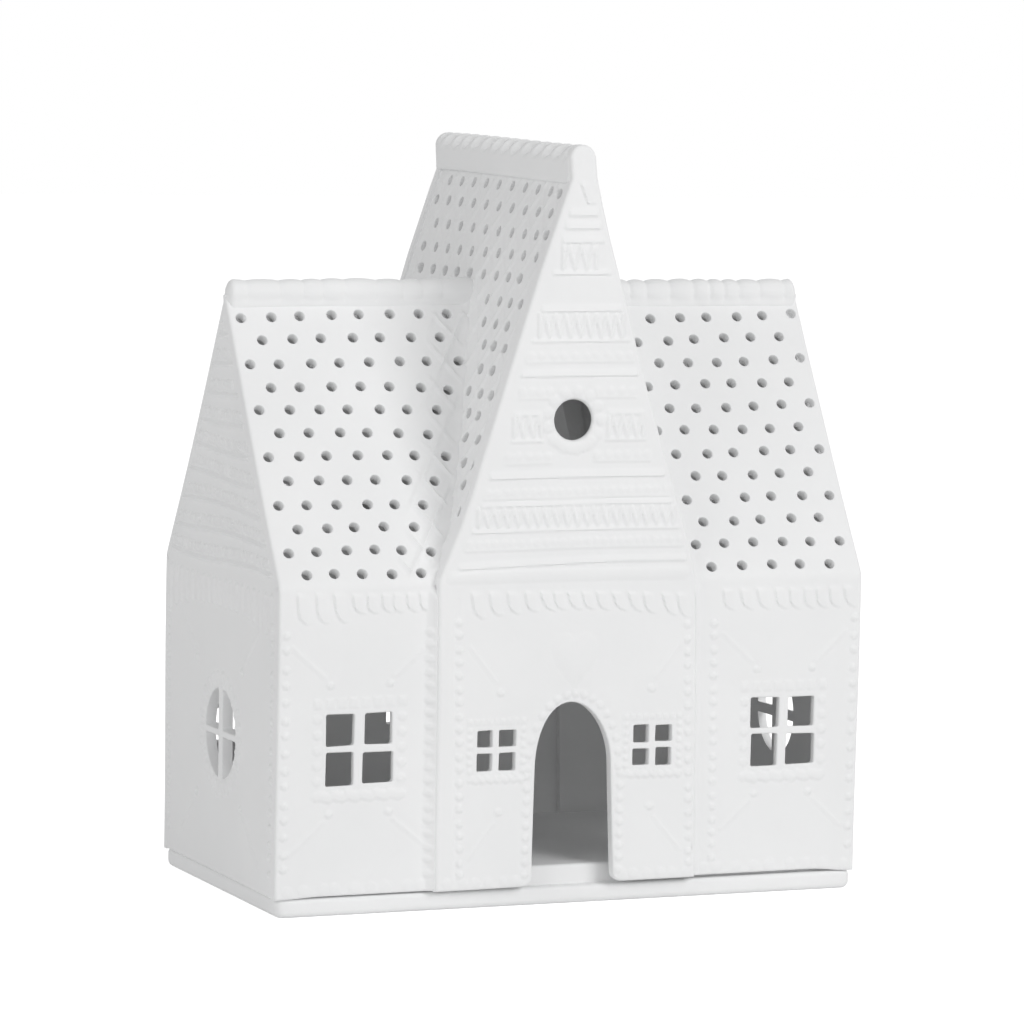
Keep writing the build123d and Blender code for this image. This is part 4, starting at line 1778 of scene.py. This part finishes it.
@dataclass(frozen=True)
class Camera:
    """The photograph's camera: place, turn, tilt, roll and focal length in pixels."""

    place: Triple = (-544.9, -1293.3, 238.3)
    yaw: float = 22.84
    pitch: float = -5.39
    roll: float = 1.04
    focal: float = 4907.7
    picture: float = 1024.0
    sensor: float = 36.0

    def build(self) -> None:
        """Sets the scene's camera from its right, up and forward directions."""
        yaw, pitch, roll = (math.radians(v) for v in (self.yaw, self.pitch, self.roll))
        level = np.array([math.sin(yaw), math.cos(yaw), 0.0])
        right = np.array([math.cos(yaw), -math.sin(yaw), 0.0])
        forward = level * math.cos(pitch) + np.array(UP) * math.sin(pitch)
        above = np.array(UP) * math.cos(pitch) - level * math.sin(pitch)
        ways = [right * math.cos(roll) + above * math.sin(roll),
                above * math.cos(roll) - right * math.sin(roll), -forward]
        data = bpy.data.cameras.new("photo_camera")
        data.sensor_width = self.sensor
        data.lens = self.focal / self.picture * self.sensor
        data.clip_start, data.clip_end = 0.05, 20.0
        camera = place_object("photo_camera", data, ways, np.array(self.place) * MM)
        bpy.context.scene.camera = camera


@dataclass(frozen=True)
class Lamp:
    """A soft square lamp that looks at the middle of the house."""

    name: str
    place: Triple
    size: float
    power: float
    target: Triple = (0.0, 0.0, 0.09)

    def build(self) -> None:
        """Adds the lamp."""
        data = bpy.data.lights.new(self.name, "AREA")
        data.shape = "SQUARE"
        data.size = self.size
        data.energy = self.power
        back = unit(np.array(self.place) - np.array(self.target))
        right = unit(np.cross(UP, back))
        place_object(self.name, data, [right, np.cross(back, right), back], np.array(self.place))


@dataclass(frozen=True)
class Studio:
    """White floor, white surroundings and soft lamps from the right and front."""

    world_strength: float = 0.415
    floor_glow: float = 0.7
    floor_colour: Triple = (0.93, 0.93, 0.93)

    def build(self) -> None:
        """Adds the world, the floor, the lamps and the camera."""
        self.world()
        self.floor()
        lamps = (
            Lamp("key_lamp", (0.95, -1.8, 1.3), 1.1, 20.2),
            Lamp("fill_lamp", (-1.7, -0.9, 0.8), 1.2, 6.8),
        )
        for lamp in lamps:
            lamp.build()
        Camera().build()
        bpy.context.scene.view_settings.view_transform = "Standard"

    def world(self) -> None:
        """White where the camera, a mirror or glass looks, and softer as a light."""
        world = bpy.data.worlds.new("studio")
        world.use_nodes = True
        tree = world.node_tree
        tree.nodes.clear()
        seen, light = (add(tree, "Background", Color=WHITE, Strength=strength).outputs["Background"]
                       for strength in (1.0, self.world_strength))
        mix = add(tree, "MixShader")
        feed(tree, mix, {0: white_rays(tree), 1: light, 2: seen})
        add(tree, "OutputWorld", Surface=mix.outputs["Shader"])
        bpy.context.scene.world = world

    def floor(self) -> None:
        """A wide white floor under the base."""
        reach = 6.0
        corners = [(-reach, -reach, 0.0), (reach, -reach, 0.0), (reach, reach, 0.0),
                   (-reach, reach, 0.0)]
        mesh = bpy.data.meshes.new("floor")
        mesh.from_pydata(corners, [], [(0, 1, 2, 3)])
        floor = bpy.data.objects.new("floor", mesh)
        bpy.context.scene.collection.objects.link(floor)
        shading = Shading("floor_white")
        glow = maths(shading.tree, "MULTIPLY", white_rays(shading.tree), self.floor_glow)
        soft = tuple(0.985 * c for c in self.floor_colour)
        mesh.materials.append(shading.finish(
            Base_Color=shading.tones(shading.noise(3.0), soft, self.floor_colour),
            Emission_Color=WHITE,
            Emission_Strength=glow,
            Roughness=0.9,
            Specular_IOR_Level=0.0,
        ))


def white_rays(tree: Tree) -> Socket:
    """1 for rays of the camera, reflections and glass, and 0 for the rest."""
    path = add(tree, "LightPath").outputs
    seen = maths(tree, "MAXIMUM", path["Is Camera Ray"], path["Is Glossy Ray"])
    return maths(tree, "MAXIMUM", seen, path["Is Transmission Ray"])


def main() -> None:
    """Builds the house, its base, the tealight and the studio."""
    logging.basicConfig(level=logging.INFO, format="%(name)s: %(message)s")
    finishes = Finishes(
        house=Porcelain("porcelain_house").make(),
        base=Porcelain("porcelain_base").make(),
        cup=Metal("pressed_aluminium").make(),
        wax=Wax("candle_wax").make(),
        wick=Cotton("braided_cotton").make(),
        tab=Metal("tinned_steel", (0.62, 0.61, 0.6), (0.5, 0.49, 0.48), 0.35).make(),
    )
    Base(finishes.base).build()
    House(finishes.house).build()
    Tealight(finishes).build()
    Studio().build()


if __name__ == "__main__":
    main()
